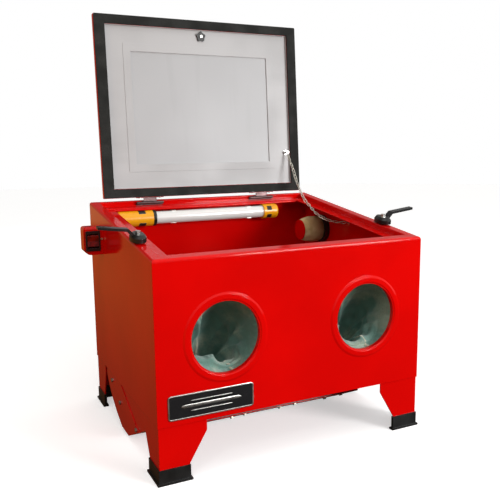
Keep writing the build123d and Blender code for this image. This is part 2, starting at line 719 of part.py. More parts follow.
with BuildPart() as hopper_bolts:
    with BuildSketch(slope_plane(STRIP_FROM)):
        with Locations(*COVER_BOLTS):
            Circle(BOLT_R)
    extrude(amount=STRIP_THICK + SHEET)
    with BuildSketch(slope_plane(COVER_FROM + SHEET)):
        with Locations(*COVER_BOLTS):
            RegularPolygon(BOLT_HEAD_R, 6)
    extrude(amount=BOLT_HEAD_HIGH)
    for side in (-1, 1):
        for depth, height in END_BOLTS:
            seat = Plane(origin=body_point(side * TROUGH_HALF, depth, height), x_dir=(0, 1, 0), z_dir=(side, 0, 0))
            with BuildSketch(seat):
                Circle(BOLT_R)
            extrude(amount=SHEET * 2)
            with BuildSketch(seat.offset(SHEET * 2)):
                RegularPolygon(BOLT_HEAD_R, 6)
            extrude(amount=BOLT_HEAD_HIGH)
save(hopper_bolts, "hopper_bolts")

with BuildPart() as leg_bolts:
    for side in (-1, 1):
        for wall, turn in ((SHEET, 1), (DEPTH - SHEET, -1)):
            for x in STUDS_X:
                seat = Plane(origin=body_point(side * x, wall, STUD_Z), x_dir=(1, 0, 0), z_dir=(0, turn, 0))
                with BuildSketch(seat):
                    Circle(STUD_R)
                extrude(amount=STACK + NUT_HIGH)
                with BuildSketch(seat.offset(STACK)):
                    RegularPolygon(NUT_R, 6)
                extrude(amount=NUT_HIGH)
save(leg_bolts, "leg_bolts")

# ---- inside the chamber ------------------------------------------------------------------------------
with BuildPart() as work_grate:
    grate_width = (TROUGH_HALF + SHEET) * 2
    grate_depth = TROUGH_BACK - TROUGH_FRONT
    with BuildSketch(level(HOPPER_LIP)):
        with Locations((0, DEPTH / 2)):
            Rectangle(grate_width, grate_depth)
        with Locations((0, DEPTH / 2)):
            across = int((grate_width - 20.0) // (SLOT_LENGTH + 16.0))
            along = int((grate_depth - 20.0) // (SLOT_WIDTH * 2))
            with GridLocations(SLOT_LENGTH + 16.0, SLOT_WIDTH * 2, across, along):
                SlotOverall(SLOT_LENGTH, SLOT_WIDTH, mode=Mode.SUBTRACT)
    extrude(amount=GRATE_THICK)
save(work_grate, "work_grate")

REAR_INSIDE = DEPTH - SHEET
TUBE_FROM = LAMP_LEFT + LAMP_LEFT_CAP
TUBE_TO = LAMP_RIGHT - LAMP_RIGHT_CAP
CAP_SOCKET = 12.0


def lamp_section(x: float) -> Plane:
    """Section of the lamp at an X, facing +X, centred on its axis."""
    return Plane(origin=body_point(x, LAMP_Y, LAMP_Z), x_dir=(0, 1, 0), z_dir=(1, 0, 0))


with BuildPart() as lamp_tube:
    with BuildSketch(lamp_section(TUBE_FROM - CAP_SOCKET)):
        Circle(LAMP_TUBE_R)
    extrude(amount=TUBE_TO - TUBE_FROM + CAP_SOCKET * 2)
save(lamp_tube, "lamp_tube")

for name, mouth, end in (("lamp_left_cap", TUBE_FROM, LAMP_LEFT), ("lamp_right_cap", TUBE_TO, LAMP_RIGHT)):
    way = 1 if end > mouth else -1
    with BuildPart() as lamp_cap:
        with BuildSketch(lamp_section(mouth)):
            Circle(LAMP_CAP_R)
        extrude(amount=end - mouth)
        fillet(lamp_cap.faces().sort_by(Axis.X)[-1 if way > 0 else 0].edges(), radius=LAMP_CAP_R / 3)
        with BuildSketch(lamp_section(mouth)):
            Circle(LAMP_TUBE_R)
        extrude(amount=way * CAP_SOCKET, mode=Mode.SUBTRACT)
    save(lamp_cap, name)

with BuildPart() as lamp_clips:
    for x in (TUBE_FROM + 45.0, TUBE_TO - 45.0):
        with BuildSketch(lamp_section(x)):
            Circle(LAMP_TUBE_R + SHEET)
            Circle(LAMP_TUBE_R, mode=Mode.SUBTRACT)
            with Locations((-LAMP_TUBE_R, 0)):
                Rectangle(LAMP_TUBE_R, LAMP_TUBE_R * 3, mode=Mode.SUBTRACT)
        extrude(amount=12.0)
        with BuildSketch(lamp_section(x)):
            stem = REAR_INSIDE - LAMP_Y - LAMP_TUBE_R - SHEET / 2
            with Locations((LAMP_TUBE_R + SHEET / 2 + stem / 2, 0)):
                Rectangle(stem, SHEET * 2)
            with Locations((REAR_INSIDE - LAMP_Y - SHEET / 2, 0)):
                Rectangle(SHEET, 24.0)
        extrude(amount=12.0)
save(lamp_clips, "lamp_clips")

FILTER_BASE = 14.0
DISC_THICK = 2.0


def filter_section(x: float) -> Plane:
    """Section of the exhaust filter at an X, facing +X, centred on its axis."""
    return Plane(origin=body_point(x, FILTER_Y, FILTER_Z), x_dir=(0, 1, 0), z_dir=(1, 0, 0))


with BuildPart() as filter_element:
    start = FILTER_REACH + DISC_THICK
    end = INNER - FILTER_BASE
    with BuildSketch(Plane(origin=body_point(0, FILTER_Y, FILTER_Z), x_dir=(1, 0, 0), z_dir=(0, -1, 0))):
        with BuildLine():
            Line((start, EXHAUST_R), (start, FILTER_DISC_R))
            ThreePointArc((start, FILTER_DISC_R), ((start + end) / 2, FILTER_MID_R), (end, FILTER_MID_R - 2.0))
            Polyline((end, FILTER_MID_R - 2.0), (end, EXHAUST_R), (start, EXHAUST_R))
        make_face()
    revolve(axis=Axis(body_point(0, FILTER_Y, FILTER_Z), (1, 0, 0)))
save(filter_element, "filter_element")

with BuildPart() as filter_end_plate:
    with BuildSketch(filter_section(FILTER_REACH)):
        Circle(FILTER_DISC_R)
    extrude(amount=DISC_THICK)
save(filter_end_plate, "filter_end_plate")

with BuildPart() as filter_base_plate:
    with BuildSketch(filter_section(INNER)):
        Circle(FILTER_BASE_R)
        Circle(EXHAUST_R, mode=Mode.SUBTRACT)
        Rectangle(EXHAUST_R * 2 + 1.0, 8.0)
        Circle(FILTER_ROD_R, mode=Mode.SUBTRACT)
    extrude(amount=-FILTER_BASE)
save(filter_base_plate, "filter_base_plate")

with BuildPart() as filter_rod:
    with BuildSketch(filter_section(FILTER_REACH + DISC_THICK)):
        Circle(FILTER_ROD_R)
    extrude(amount=INNER - FILTER_REACH - DISC_THICK)
save(filter_rod, "filter_rod")

# ---- blast gun, resting on the grate -----------------------------------------------------------------
GUN_R = 12.0
GUN_LONG = 84.0
GUN_Y = 176.0
GUN_FROM = -30.0
GUN_Z = HOPPER_LIP + GRATE_THICK + GUN_R
GRIP_WIDE = 24.0
GRIP_LONG = 92.0
TRIGGER_X = GUN_FROM + GUN_LONG - 22.0
TRIGGER_Y = GUN_Y - GUN_R - 5.0
TRIGGER_THICK = 8.0
TRIGGER_PIN_R = 2.0
EAR_THICK = 3.0


def gun_section(x: float) -> Plane:
    """Section across the gun's barrel at an X, facing +X, centred on its axis."""
    return Plane(origin=body_point(x, GUN_Y, GUN_Z), x_dir=(0, 1, 0), z_dir=(1, 0, 0))


with BuildPart() as gun_body:
    with BuildSketch(gun_section(GUN_FROM)):
        Circle(GUN_R)
    extrude(amount=GUN_LONG)
    with BuildSketch(level(GUN_Z - GUN_R)):
        with BuildLine():
            back = GUN_FROM + GRIP_WIDE
            Polyline(
                (GUN_FROM, GUN_Y),
                (back, GUN_Y),
                (back - 12.0, GUN_Y - GRIP_LONG),
                (GUN_FROM - 12.0, GUN_Y - GRIP_LONG),
                close=True,
            )
        make_face()
    extrude(amount=GUN_R * 2 - 4.0)
    # two ears hold the trigger's pin
    for low in (GUN_Z - TRIGGER_THICK / 2 - GAP - EAR_THICK, GUN_Z + TRIGGER_THICK / 2 + GAP):
        with BuildSketch(level(low)):
            with Locations((TRIGGER_X, (TRIGGER_Y + GUN_Y) / 2)):
                Rectangle(12.0, GUN_Y - TRIGGER_Y + 8.0)
        extrude(amount=EAR_THICK)
    with BuildSketch(level(GUN_Z - TRIGGER_THICK / 2 - GAP)):
        with Locations((TRIGGER_X, TRIGGER_Y - 1.5)):
            Rectangle(20.0, 14.0)
    extrude(amount=TRIGGER_THICK + GAP * 2, mode=Mode.SUBTRACT)
    with Locations(body_point(TRIGGER_X, TRIGGER_Y, GUN_Z)):
        Cylinder(TRIGGER_PIN_R, GUN_R * 2, mode=Mode.SUBTRACT)
    with BuildSketch(gun_section(GUN_FROM + GUN_LONG)):
        Circle(6.0)
    extrude(amount=-16.0, mode=Mode.SUBTRACT)
save(gun_body, "gun_body")

with BuildPart() as gun_nozzle:
    with BuildSketch(gun_section(GUN_FROM + GUN_LONG - 16.0)):
        Circle(6.0)
        Circle(2.5, mode=Mode.SUBTRACT)
    extrude(amount=46.0)
save(gun_nozzle, "gun_nozzle")

with BuildPart() as gun_trigger_pin:
    with Locations(body_point(TRIGGER_X, TRIGGER_Y, GUN_Z)):
        Cylinder(TRIGGER_PIN_R, TRIGGER_THICK + GAP * 2 + EAR_THICK * 2)
save(gun_trigger_pin, "gun_trigger_pin")

with BuildPart() as gun_trigger:
    with BuildSketch(level(GUN_Z - TRIGGER_THICK / 2)):
        with BuildLine():
            hub = 5.0
            Polyline(
                (TRIGGER_X - hub, TRIGGER_Y + 2.0),
                (TRIGGER_X + hub, TRIGGER_Y + 2.0),
                (TRIGGER_X + hub - 2.0, TRIGGER_Y - 30.0),
                (TRIGGER_X + hub - 6.0, TRIGGER_Y - 48.0),
                (TRIGGER_X - hub, TRIGGER_Y - 48.0),
                (TRIGGER_X - hub - 1.0, TRIGGER_Y - 30.0),
                close=True,
            )
        make_face()
    extrude(amount=TRIGGER_THICK)
    with Locations(body_point(TRIGGER_X, TRIGGER_Y, GUN_Z)):
        Cylinder(TRIGGER_PIN_R + RUN_FIT, GUN_R * 2, mode=Mode.SUBTRACT)
save(gun_trigger, "gun_trigger")

with BuildPart() as air_inlet_fitting:
    seat = Plane(origin=body_point(*INLET), x_dir=(0, 1, 0), z_dir=(1, 0, 0))
    with BuildSketch(seat.offset(SHEET)):
        RegularPolygon(INLET_BORE_R + 5.0, 6)
    extrude(amount=INLET_LENGTH)
    with BuildSketch(seat.offset(-10.0)):
        Circle(INLET_BORE_R + 3.0)
    extrude(amount=10.0 + SHEET)
    with BuildSketch(seat.offset(-6.0)):
        RegularPolygon(INLET_BORE_R + 5.0, 6)
    extrude(amount=6.0)
    with BuildSketch(seat.offset(SHEET + INLET_LENGTH)):
        Circle(INLET_BORE_R)
    extrude(amount=-INLET_LENGTH, mode=Mode.SUBTRACT)
save(air_inlet_fitting, "air_inlet_fitting")

# ---- lamp switch on the left wall --------------------------------------------------------------------
BOX_MID = (BOX_LOW + BOX_HIGH) / 2
BOX_X = -HALF - BOX_WIDTH / 2 - 2.0
BEZEL_WIDTH = 32.0
BEZEL_HIGH = 44.0
BEZEL_PROUD = 2.0
ROCKER_HALF_HIGH = ROCKER_R * sin(radians(64.0))
ROCKER_AXIS = BOX_FRONT + ROCKER_R * cos(radians(64.0))
TAB_WIDTH = 8.0


with BuildPart() as switch_box:
    box_left = -HALF - BOX_WIDTH
    with BuildSketch(upright(BOX_FRONT)):
        with BuildLine():
            Polyline(
                (-HALF, BOX_LOW),
                (box_left + 10.0, BOX_LOW),
                (box_left, BOX_LOW + 10.0),
                (box_left, BOX_HIGH),
                (-HALF, BOX_HIGH),
                close=True,
            )
        make_face()
    extrude(amount=-BOX_DEPTH)
    fillet(switch_box.edges().filter_by(Axis.Y).group_by(Axis.X)[0], radius=BOX_ROUND)
    fillet(switch_box.faces().sort_by(Axis.Y)[0].edges().sort_by(Axis.X)[0], radius=BOX_ROUND)
    with BuildSketch(upright(BOX_FRONT + SHEET)):
        with Locations((BOX_X + 2.0 + SHEET, BOX_MID + 2.0)):
            Rectangle(BOX_WIDTH - SHEET * 2 + 3.0, BOX_HIGH - BOX_LOW - 16.0)
    extrude(amount=-(BOX_DEPTH - SHEET * 2), mode=Mode.SUBTRACT)
    with BuildSketch(upright(BOX_FRONT)):
        with Locations((BOX_X, BOX_MID)):
            Rectangle(ROCKER_WIDTH + 3.0, ROCKER_HALF_HIGH * 2 + 6.0)
    extrude(amount=-SHEET * 2, mode=Mode.SUBTRACT)
save(switch_box, "switch_box")

with BuildPart() as switch_bezel:
    with BuildSketch(upright(BOX_FRONT)):
        with Locations((BOX_X, BOX_MID)):
            RectangleRounded(BEZEL_WIDTH, BEZEL_HIGH, 2.0)
    extrude(amount=BEZEL_PROUD)
    with BuildSketch(upright(BOX_FRONT)):
        with Locations((BOX_X, BOX_MID)):
            Rectangle(ROCKER_WIDTH + 2.6, ROCKER_HALF_HIGH * 2 + 5.6)
    extrude(amount=-BOX_DEPTH * 2 / 3)
    with BuildSketch(upright(BOX_FRONT - BEZEL_PROUD)):
        with Locations((BOX_X, BOX_MID)):
            Rectangle(ROCKER_WIDTH + GAP * 2, (ROCKER_R + GAP) * 2)
    extrude(amount=-BOX_DEPTH * 2 / 3, mode=Mode.SUBTRACT)
    # the rocker's stub pins turn in two holes
    with Locations(Location(body_point(BOX_X, ROCKER_AXIS, BOX_MID), (0, 90, 0))):
        Cylinder(PIN_R + RUN_FIT, BOX_WIDTH, mode=Mode.SUBTRACT)
save(switch_bezel, "switch_bezel")

with BuildPart() as rocker_switch:
    with BuildSketch(Plane(origin=body_point(BOX_X - ROCKER_WIDTH / 2, ROCKER_AXIS, BOX_MID), x_dir=(0, 1, 0),
                           z_dir=(1, 0, 0))):
        Circle(ROCKER_R)
        with Locations((ROCKER_R, 0)):
            Rectangle(ROCKER_R * 2, ROCKER_R * 2, mode=Mode.SUBTRACT)
        # the face is two flats that meet in a shallow valley
        with BuildLine():
            face = -ROCKER_R * cos(radians(64.0)) - BEZEL_PROUD - 1.4
            Polyline((face, ROCKER_R), (face + 1.6, 0), (face, -ROCKER_R), (-ROCKER_R * 2, 0), close=True)
        make_face(mode=Mode.SUBTRACT)
    extrude(amount=ROCKER_WIDTH)
    with Locations(Location(body_point(BOX_X, ROCKER_AXIS, BOX_MID), (0, 90, 0))):
        Cylinder(PIN_R, ROCKER_WIDTH + 2.4)
save(rocker_switch, "rocker_switch")

with BuildPart() as switch_screw:
    seat = upright(BOX_FRONT)
    with BuildSketch(seat):
        with Locations((-HALF - 3.4, BOX_MID + 4.0)):
            Circle(2.6)
    extrude(amount=1.6)
save(switch_screw, "switch_screw")

# ---- latches -----------------------------------------------------------------------------------------
def latch_plane(side: int, rise: float) -> Plane:
    """Plane across a latch's axis: local x points out from the cabinet, local y to the rear or the front."""
    return Plane(origin=rim_point(side * LATCH_X, LATCH_S, rise), x_dir=(side, 0, 0), z_dir=rim(0).z_dir)


for side, name in ((-1, "left_latch_lever"), (1, "right_latch_lever")):
    with BuildPart() as latch_lever:
        with BuildSketch(latch_plane(side, GAP)):
            Circle(BOSS_R - 3.5)
        extrude(amount=CAM_UNDER)
        with BuildSketch(latch_plane(side, CAM_UNDER)):
            Ellipse(CAM_WIDE / 2, CAM_LONG / 2)
        extrude(amount=CAM_SHOULDER - CAM_UNDER)
        with BuildSketch(latch_plane(side, CAM_SHOULDER)):
            Ellipse(CAM_WIDE / 2, CAM_LONG / 2)
        extrude(amount=CAM_TOP - CAM_SHOULDER, taper=38)
        # the arm climbs from the hub's shoulder, then runs out level
        section = Plane(
            origin=rim_point(side * LATCH_X, LATCH_S, 0),
            x_dir=(side, 0, 0),
            z_dir=(0, -side * cos(TILT), -side * sin(TILT)),
        )
        with BuildSketch(section):
            with BuildLine():
                Polyline(
                    (ARM_ROOT, CAM_TOP - ARM_THICK),
                    (ARM_ROOT + 4.0, CAM_TOP - ARM_THICK - 1.0),
                    (ARM_ELBOW + ARM_THICK / 2, ELBOW_RISE - ARM_THICK / 2),
                    (ARM_REACH, TIP_RISE - ARM_THICK / 2),
                    (ARM_REACH, TIP_RISE + ARM_THICK / 2),
                    (ARM_ELBOW, ELBOW_RISE + ARM_THICK / 2),
                    (ARM_ROOT, CAM_TOP),
                    close=True,
                )
            make_face()
        extrude(amount=ARM_WIDTH / 2, both=True)
        with BuildSketch(latch_plane(side, GAP)):
            Circle(LATCH_SCREW_R + RUN_FIT)
        extrude(amount=CAM_TOP * 2, mode=Mode.SUBTRACT)
    save(latch_lever, name)

with BuildPart() as latch_screws:
    for side in (-1, 1):
        with BuildSketch(latch_plane(side, -LATCH_SHANK)):
            Circle(LATCH_SCREW_R)
        extrude(amount=LATCH_SHANK + CAM_TOP + GAP)
        with BuildSketch(latch_plane(side, CAM_TOP + GAP)):
            RegularPolygon(LATCH_HEAD_R, 6)
        extrude(amount=LATCH_HEAD_HIGH)
        with BuildSketch(latch_plane(side, -SHEET - NUT_HIGH)):
            RegularPolygon(NUT_R, 6)
        extrude(amount=NUT_HIGH)
save(latch_screws, "latch_screws")

# ---- lid ---------------------------------------------------------------------------------------------
LID_MID = LID_LENGTH / 2
TRAY_HALF = LID_WIDTH / 2 - GASKET_WIDTH
TRAY_LENGTH = LID_LENGTH - GASKET_ENDS * 2
WINDOW_MID = WINDOW_FROM + WINDOW_LENGTH / 2
LID_CORNER = 3.0

with BuildPart() as lid_shell:
    with BuildSketch(lid(LID_DEPTH)):
        with Locations((0, LID_MID)):
            RectangleRounded(LID_WIDTH, LID_LENGTH, LID_CORNER)
    extrude(amount=LID_DEPTH - GASKET)
    with BuildSketch(lid(LID_DEPTH - SHEET)):
        with Locations((0, LID_MID)):
            Rectangle(LID_WIDTH - SHEET * 2, LID_LENGTH - SHEET * 2)
    extrude(amount=LID_DEPTH - GASKET - SHEET * 2, mode=Mode.SUBTRACT)
    with BuildSketch(lid(GASKET + SHEET)):
        with Locations((0, LID_MID)):
            Rectangle(TRAY_HALF * 2, TRAY_LENGTH)
    extrude(amount=SHEET, mode=Mode.SUBTRACT)
    with BuildSketch(lid(LID_DEPTH)):
        with Locations((0, WINDOW_MID)):
            RectangleRounded(WINDOW_WIDTH, WINDOW_LENGTH, LID_CORNER)
        with Locations((0, KNOB_V)):
            Circle(2.5)
    extrude(amount=SHEET, mode=Mode.SUBTRACT)
save(lid_shell, "lid_shell")

with BuildPart() as lid_tray:
    with BuildSketch(lid(TRAY_FACE + SHEET)):
        with Locations((0, LID_MID)):
            Rectangle(TRAY_HALF * 2, TRAY_LENGTH)
    extrude(amount=TRAY_FACE + SHEET - GASKET)
    with BuildSketch(lid(TRAY_FACE)):
        with Locations((0, LID_MID)):
            Rectangle((TRAY_HALF - 1.2) * 2, TRAY_LENGTH - 2.4)
    extrude(amount=TRAY_FACE, mode=Mode.SUBTRACT)
    with BuildSketch(lid(TRAY_FACE + SHEET)):
        with Locations((0, WINDOW_MID)):
            Rectangle(WINDOW_WIDTH, WINDOW_LENGTH)
        with Locations((0, KNOB_V), (226.0, 101.0)):
            Circle(2.5)
    extrude(amount=SHEET, mode=Mode.SUBTRACT)
save(lid_tray, "lid_tray")

with BuildPart() as window_pane:
    with BuildSketch(lid(TRAY_FACE + SHEET + PANE_THICK)):
        with Locations((0, WINDOW_MID)):
            Rectangle(WINDOW_WIDTH + FRAME_BAND, WINDOW_LENGTH + FRAME_BAND)
    extrude(amount=PANE_THICK)
save(window_pane, "window_pane")

with BuildPart() as window_frame:
    with BuildSketch(lid(TRAY_FACE)):
        with Locations((0, WINDOW_MID)):
            Rectangle(WINDOW_WIDTH + FRAME_BAND * 2, WINDOW_LENGTH + FRAME_BAND * 2)
            Rectangle(WINDOW_WIDTH, WINDOW_LENGTH, mode=Mode.SUBTRACT)
    extrude(amount=FRAME_THICK)
save(window_frame, "window_frame")

with BuildPart() as lid_gasket:
    with BuildSketch(lid(GASKET)):
        with Locations((0, LID_MID)):
            RectangleRounded(LID_WIDTH - 1.6, LID_LENGTH - 1.6, LID_CORNER)
            Rectangle(TRAY_HALF * 2 + 1.0, TRAY_LENGTH + 1.0, mode=Mode.SUBTRACT)
    extrude(amount=GASKET)
save(lid_gasket, "lid_gasket")

# lobed washer, screw and ball knob near the free edge
LOBES = 5
with BuildPart() as knob_washer:
    with BuildSketch(lid(TRAY_FACE)):
        with Locations((0, KNOB_V)):
            Circle(10.0)
            with PolarLocations(8.6, LOBES, start_angle=90):
                Circle(3.8)
            Circle(2.5, mode=Mode.SUBTRACT)
    extrude(amount=4.0)
save(knob_washer, "knob_washer")

with BuildPart() as knob_screw:
    with BuildSketch(lid(TRAY_FACE - 4.0)):
        with Locations((0, KNOB_V)):
            Circle(3.6)
    extrude(amount=2.6)
    with BuildSketch(lid(TRAY_FACE - 4.0)):
        with Locations((0, KNOB_V)):
            Circle(2.4)
    extrude(amount=-(LID_DEPTH - TRAY_FACE + 14.0))
save(knob_screw, "knob_screw")

with BuildPart() as lift_knob:
    ball = lid(KNOB_DEEP)
    with BuildSketch(lid(LID_DEPTH)):
        with Locations((0, KNOB_V)):
            Circle(KNOB_R / 2)
    extrude(amount=-KNOB_R)
    with Locations(ball.from_local_coords((0, KNOB_V, 0))):
        Sphere(KNOB_R)
    with BuildSketch(lid(LID_DEPTH)):
        with Locations((0, KNOB_V)):
            Circle(2.5)
    extrude(amount=-14.0, mode=Mode.SUBTRACT)
save(lift_knob, "lift_knob")

# ---- hinges: cranked leaves on a fixed pin -----------------------------------------------------------
LEAF = 1.5
SEGMENT = HINGE_LENGTH / 4
FLANGE_HIGH = 8.0


def rear_segments() -> list:
    """Middle and length of the fixed knuckles along one hinge."""
    return [(way * (HINGE_LENGTH / 2 - SEGMENT / 2), SEGMENT) for way in (-1, 1)]


with BuildPart() as hinge_rear_leaves:
    for hinge_x in (-HINGE_AT, HINGE_AT):
        with BuildSketch(rim_side(hinge_x - HINGE_LENGTH / 2)):
            with Locations((STEP_S - LEAF / 2, PIVOT_H - FLANGE_HIGH / 2 + LEAF / 2)):
                Rectangle(LEAF, FLANGE_HIGH)
        extrude(amount=HINGE_LENGTH)
        for middle, length in rear_segments():
            start = hinge_x + middle - length / 2
            with BuildSketch(rim_side(start)):
                with Locations((PIVOT_S, PIVOT_H)):
                    Circle(KNUCKLE_R)
                with Locations(((PIVOT_S + STEP_S - LEAF) / 2, PIVOT_H)):
                    Rectangle(STEP_S - LEAF - PIVOT_S, LEAF)
            extrude(amount=length)
        with BuildSketch(rim_side(hinge_x - HINGE_LENGTH)):
            with Locations((PIVOT_S, PIVOT_H)):
                Circle(PIN_R)
        extrude(amount=HINGE_LENGTH * 2, mode=Mode.SUBTRACT)
save(hinge_rear_leaves, "hinge_rear_leaves")

with BuildPart() as hinge_pins:
    for hinge_x in (-HINGE_AT, HINGE_AT):
        with BuildSketch(rim_side(hinge_x - HINGE_LENGTH / 2 - 1.0)):
            with Locations((PIVOT_S, PIVOT_H)):
                Circle(PIN_R)
        extrude(amount=HINGE_LENGTH + 2.0)
save(hinge_pins, "hinge_pins")

with BuildPart() as hinge_lid_leaves:
    for hinge_x in (-HINGE_AT, HINGE_AT):
        length = HINGE_LENGTH - SEGMENT * 2 - GAP * 2
        section = lid_side(hinge_x + length / 2)
        with BuildSketch(section):
            with Locations((-PIVOT_OFF, PIVOT_DEEP)):
                Circle(KNUCKLE_R)
            with Locations((-PIVOT_OFF / 2, PIVOT_DEEP)):
                Rectangle(PIVOT_OFF, LEAF)
        extrude(amount=length)
        with BuildSketch(lid_side(hinge_x + HINGE_LENGTH / 2)):
            with Locations((-LEAF / 2, (GASKET + LID_DEPTH) / 2)):
                Rectangle(LEAF, LID_DEPTH - GASKET - 1.0)
        extrude(amount=HINGE_LENGTH)
        with BuildSketch(lid_side(hinge_x + HINGE_LENGTH)):
            with Locations((-PIVOT_OFF, PIVOT_DEEP)):
                Circle(PIN_R + RUN_FIT)
        extrude(amount=HINGE_LENGTH * 2, mode=Mode.SUBTRACT)
save(hinge_lid_leaves, "hinge_lid_leaves")

SCREW_AT = (-HINGE_LENGTH / 2 + 8.0, HINGE_LENGTH / 2 - 8.0)
with BuildPart() as lid_hinge_screws:
    for hinge_x in (-HINGE_AT, HINGE_AT):
        for x in SCREW_AT:
            with BuildSketch(Plane(origin=lid_side(hinge_x + x).from_local_coords((-LEAF, (GASKET + LID_DEPTH) / 2, 0)),
                                   x_dir=(1, 0, 0), z_dir=(0, -sin(LEAN), -cos(LEAN)))):
                Circle(2.4)
            extrude(amount=1.4)
save(lid_hinge_screws, "lid_hinge_screws")

# ---- lid chain ---------------------------------------------------------------------------------------
CHAIN_X = 226.0
CHAIN_V = 101.0
with BuildPart() as chain_bolt:
    with BuildSketch(lid(TRAY_FACE)):
        with Locations((CHAIN_X, CHAIN_V)):
            Circle(6.0)
    extrude(amount=1.6)
    with BuildSketch(lid(TRAY_FACE)):
        with Locations((CHAIN_X, CHAIN_V)):
            Circle(3.4)
    extrude(amount=TRAY_FACE + 6.0)
save(chain_bolt, "chain_bolt")

with BuildPart() as chain_anchor:
    seat = Plane(origin=body_point(*ANCHOR), x_dir=(0, 1, 0), z_dir=(-1, 0, 0))
    with BuildSketch(seat):
        Circle(STUD_R + 2.0)
    extrude(amount=2.0)
    with BuildSketch(seat):
        Circle(STUD_R - 0.8)
    extrude(amount=9.0)
save(chain_anchor, "chain_anchor")

EYE = lid(-4.0).from_local_coords((CHAIN_X, CHAIN_V, 0))
CHAIN_ROUTE = [
    # X, depth, height of the hand-set points between the bolt and the wall's eye
    (229.0, 435.0, 443.0),
    (232.5, 411.0, 398.0),
    (238.0, 385.0, 358.0),
    (241.0, 348.0, 335.5),
    (252.0, 308.0, 316.5),
    (267.0, 286.0, 310.5),
]
CHAIN_END = (ANCHOR[0] - 9.0, ANCHOR[1] + 3.0, ANCHOR[2] - 0.5)
with BuildPart() as lid_chain:
    route = [Vector(*EYE) + Vector(2.0, -CHAIN_R - 1.0, -CHAIN_R - 1.0)]
    route += [Vector(*body_point(*point)) for point in CHAIN_ROUTE]
    route += [Vector(*body_point(*CHAIN_END))]
    runs = [b - a for a, b in zip(route, route[1:])]
    radii = []
    for one, two in zip(runs, runs[1:]):
        turn = one.get_angle(two)
        radii.append(0.45 * min(one.length, two.length) / tan(radians(turn / 2)))
    print("chain bend radii", [round(radius) for radius in radii])
    with BuildLine():
        FilletPolyline(*route, radius=radii)
    with BuildSketch(Plane(origin=route[0], z_dir=runs[0].normalized())):
        Circle(CHAIN_R)
    sweep()
save(lid_chain, "lid_chain")

print("origin to front face", round(FRONT_Y, 3), "hinge", [round(v, 4) for v in body_point(0, HINGE_Y, HINGE_Z)])
print("closing", CLOSING, "latch", [[round(v, 4) for v in rim_point(s * LATCH_X, LATCH_S, 0)] for s in (-1, 1)])
print("rocker", body_point(BOX_X, ROCKER_AXIS, BOX_MID), "trigger", body_point(TRIGGER_X, TRIGGER_Y, GUN_Z))
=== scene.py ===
"""Looks of a benchtop blast cabinet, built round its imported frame.

Metres, in the part's own frame: +Z up, +X to the right of the user, +Y to the back, where the lid is hinged.
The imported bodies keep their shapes. This script dresses them, and adds the pieces that solid modelling can't
give: the draped gloves, the pleated filter, the chain's links, the lamp's pads and the plate's bare rim.
"""

from __future__ import annotations

import logging
from dataclasses import dataclass, field
from enum import Enum
from typing import Sequence

import bmesh
import bpy
import numpy as np
from mathutils import Matrix, Vector

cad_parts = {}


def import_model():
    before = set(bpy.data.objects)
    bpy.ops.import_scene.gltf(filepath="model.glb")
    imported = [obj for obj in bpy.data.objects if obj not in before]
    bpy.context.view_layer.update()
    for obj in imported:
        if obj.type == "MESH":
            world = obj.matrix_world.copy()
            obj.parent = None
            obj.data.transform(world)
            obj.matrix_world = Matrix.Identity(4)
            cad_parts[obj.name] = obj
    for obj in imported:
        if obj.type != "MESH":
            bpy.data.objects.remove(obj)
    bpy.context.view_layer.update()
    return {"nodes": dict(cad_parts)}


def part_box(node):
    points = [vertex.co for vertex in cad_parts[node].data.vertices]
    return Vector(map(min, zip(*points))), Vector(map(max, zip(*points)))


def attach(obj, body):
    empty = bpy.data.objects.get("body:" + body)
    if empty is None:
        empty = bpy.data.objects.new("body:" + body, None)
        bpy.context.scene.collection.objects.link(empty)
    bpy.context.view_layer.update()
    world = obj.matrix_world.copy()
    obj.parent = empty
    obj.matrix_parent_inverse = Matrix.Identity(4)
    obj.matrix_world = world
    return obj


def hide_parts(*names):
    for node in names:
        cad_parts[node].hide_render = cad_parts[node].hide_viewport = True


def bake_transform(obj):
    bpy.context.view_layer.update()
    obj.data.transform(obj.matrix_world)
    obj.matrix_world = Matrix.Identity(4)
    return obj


LOG = logging.getLogger("cabinet")
MM = 0.001
FRONT_Y = -0.260233  # the body's front face
BASE_Z = 0.109  # the body's bottom edge
TURN = 2.0 * np.pi

Colour = tuple[float, float, float]
Place = tuple[float, float, float]


def body_point(x: float, depth: float, height: float) -> np.ndarray:
    """A point in millimetres from the body's middle, front face and bottom edge, as metres in the frame."""
    return np.array([x * MM, FRONT_Y + depth * MM, BASE_Z + height * MM])


# ---- shaders -----------------------------------------------------------------------------------------
class Wire:
    """A shader value that takes part in Python sums, products and powers.

    Args:
        paint: the finish's node tree that the value belongs to.
        socket: the output socket that carries it.
    """

    def __init__(self, paint: "Paint", socket: bpy.types.NodeSocket) -> None:
        self.paint = paint
        self.socket = socket

    def __add__(self, other: "Wire | float") -> "Wire":
        """Sum."""
        return self.paint.sum_of("ADD", self, other)

    __radd__ = __add__

    def __sub__(self, other: "Wire | float") -> "Wire":
        """Difference."""
        return self.paint.sum_of("SUBTRACT", self, other)

    def __rsub__(self, other: float) -> "Wire":
        """Difference from a number."""
        return self.paint.sum_of("SUBTRACT", other, self)

    def __mul__(self, other: "Wire | float") -> "Wire":
        """Product."""
        return self.paint.sum_of("MULTIPLY", self, other)

    __rmul__ = __mul__

    def __pow__(self, other: float) -> "Wire":
        """Power."""
        return self.paint.sum_of("POWER", self, other)


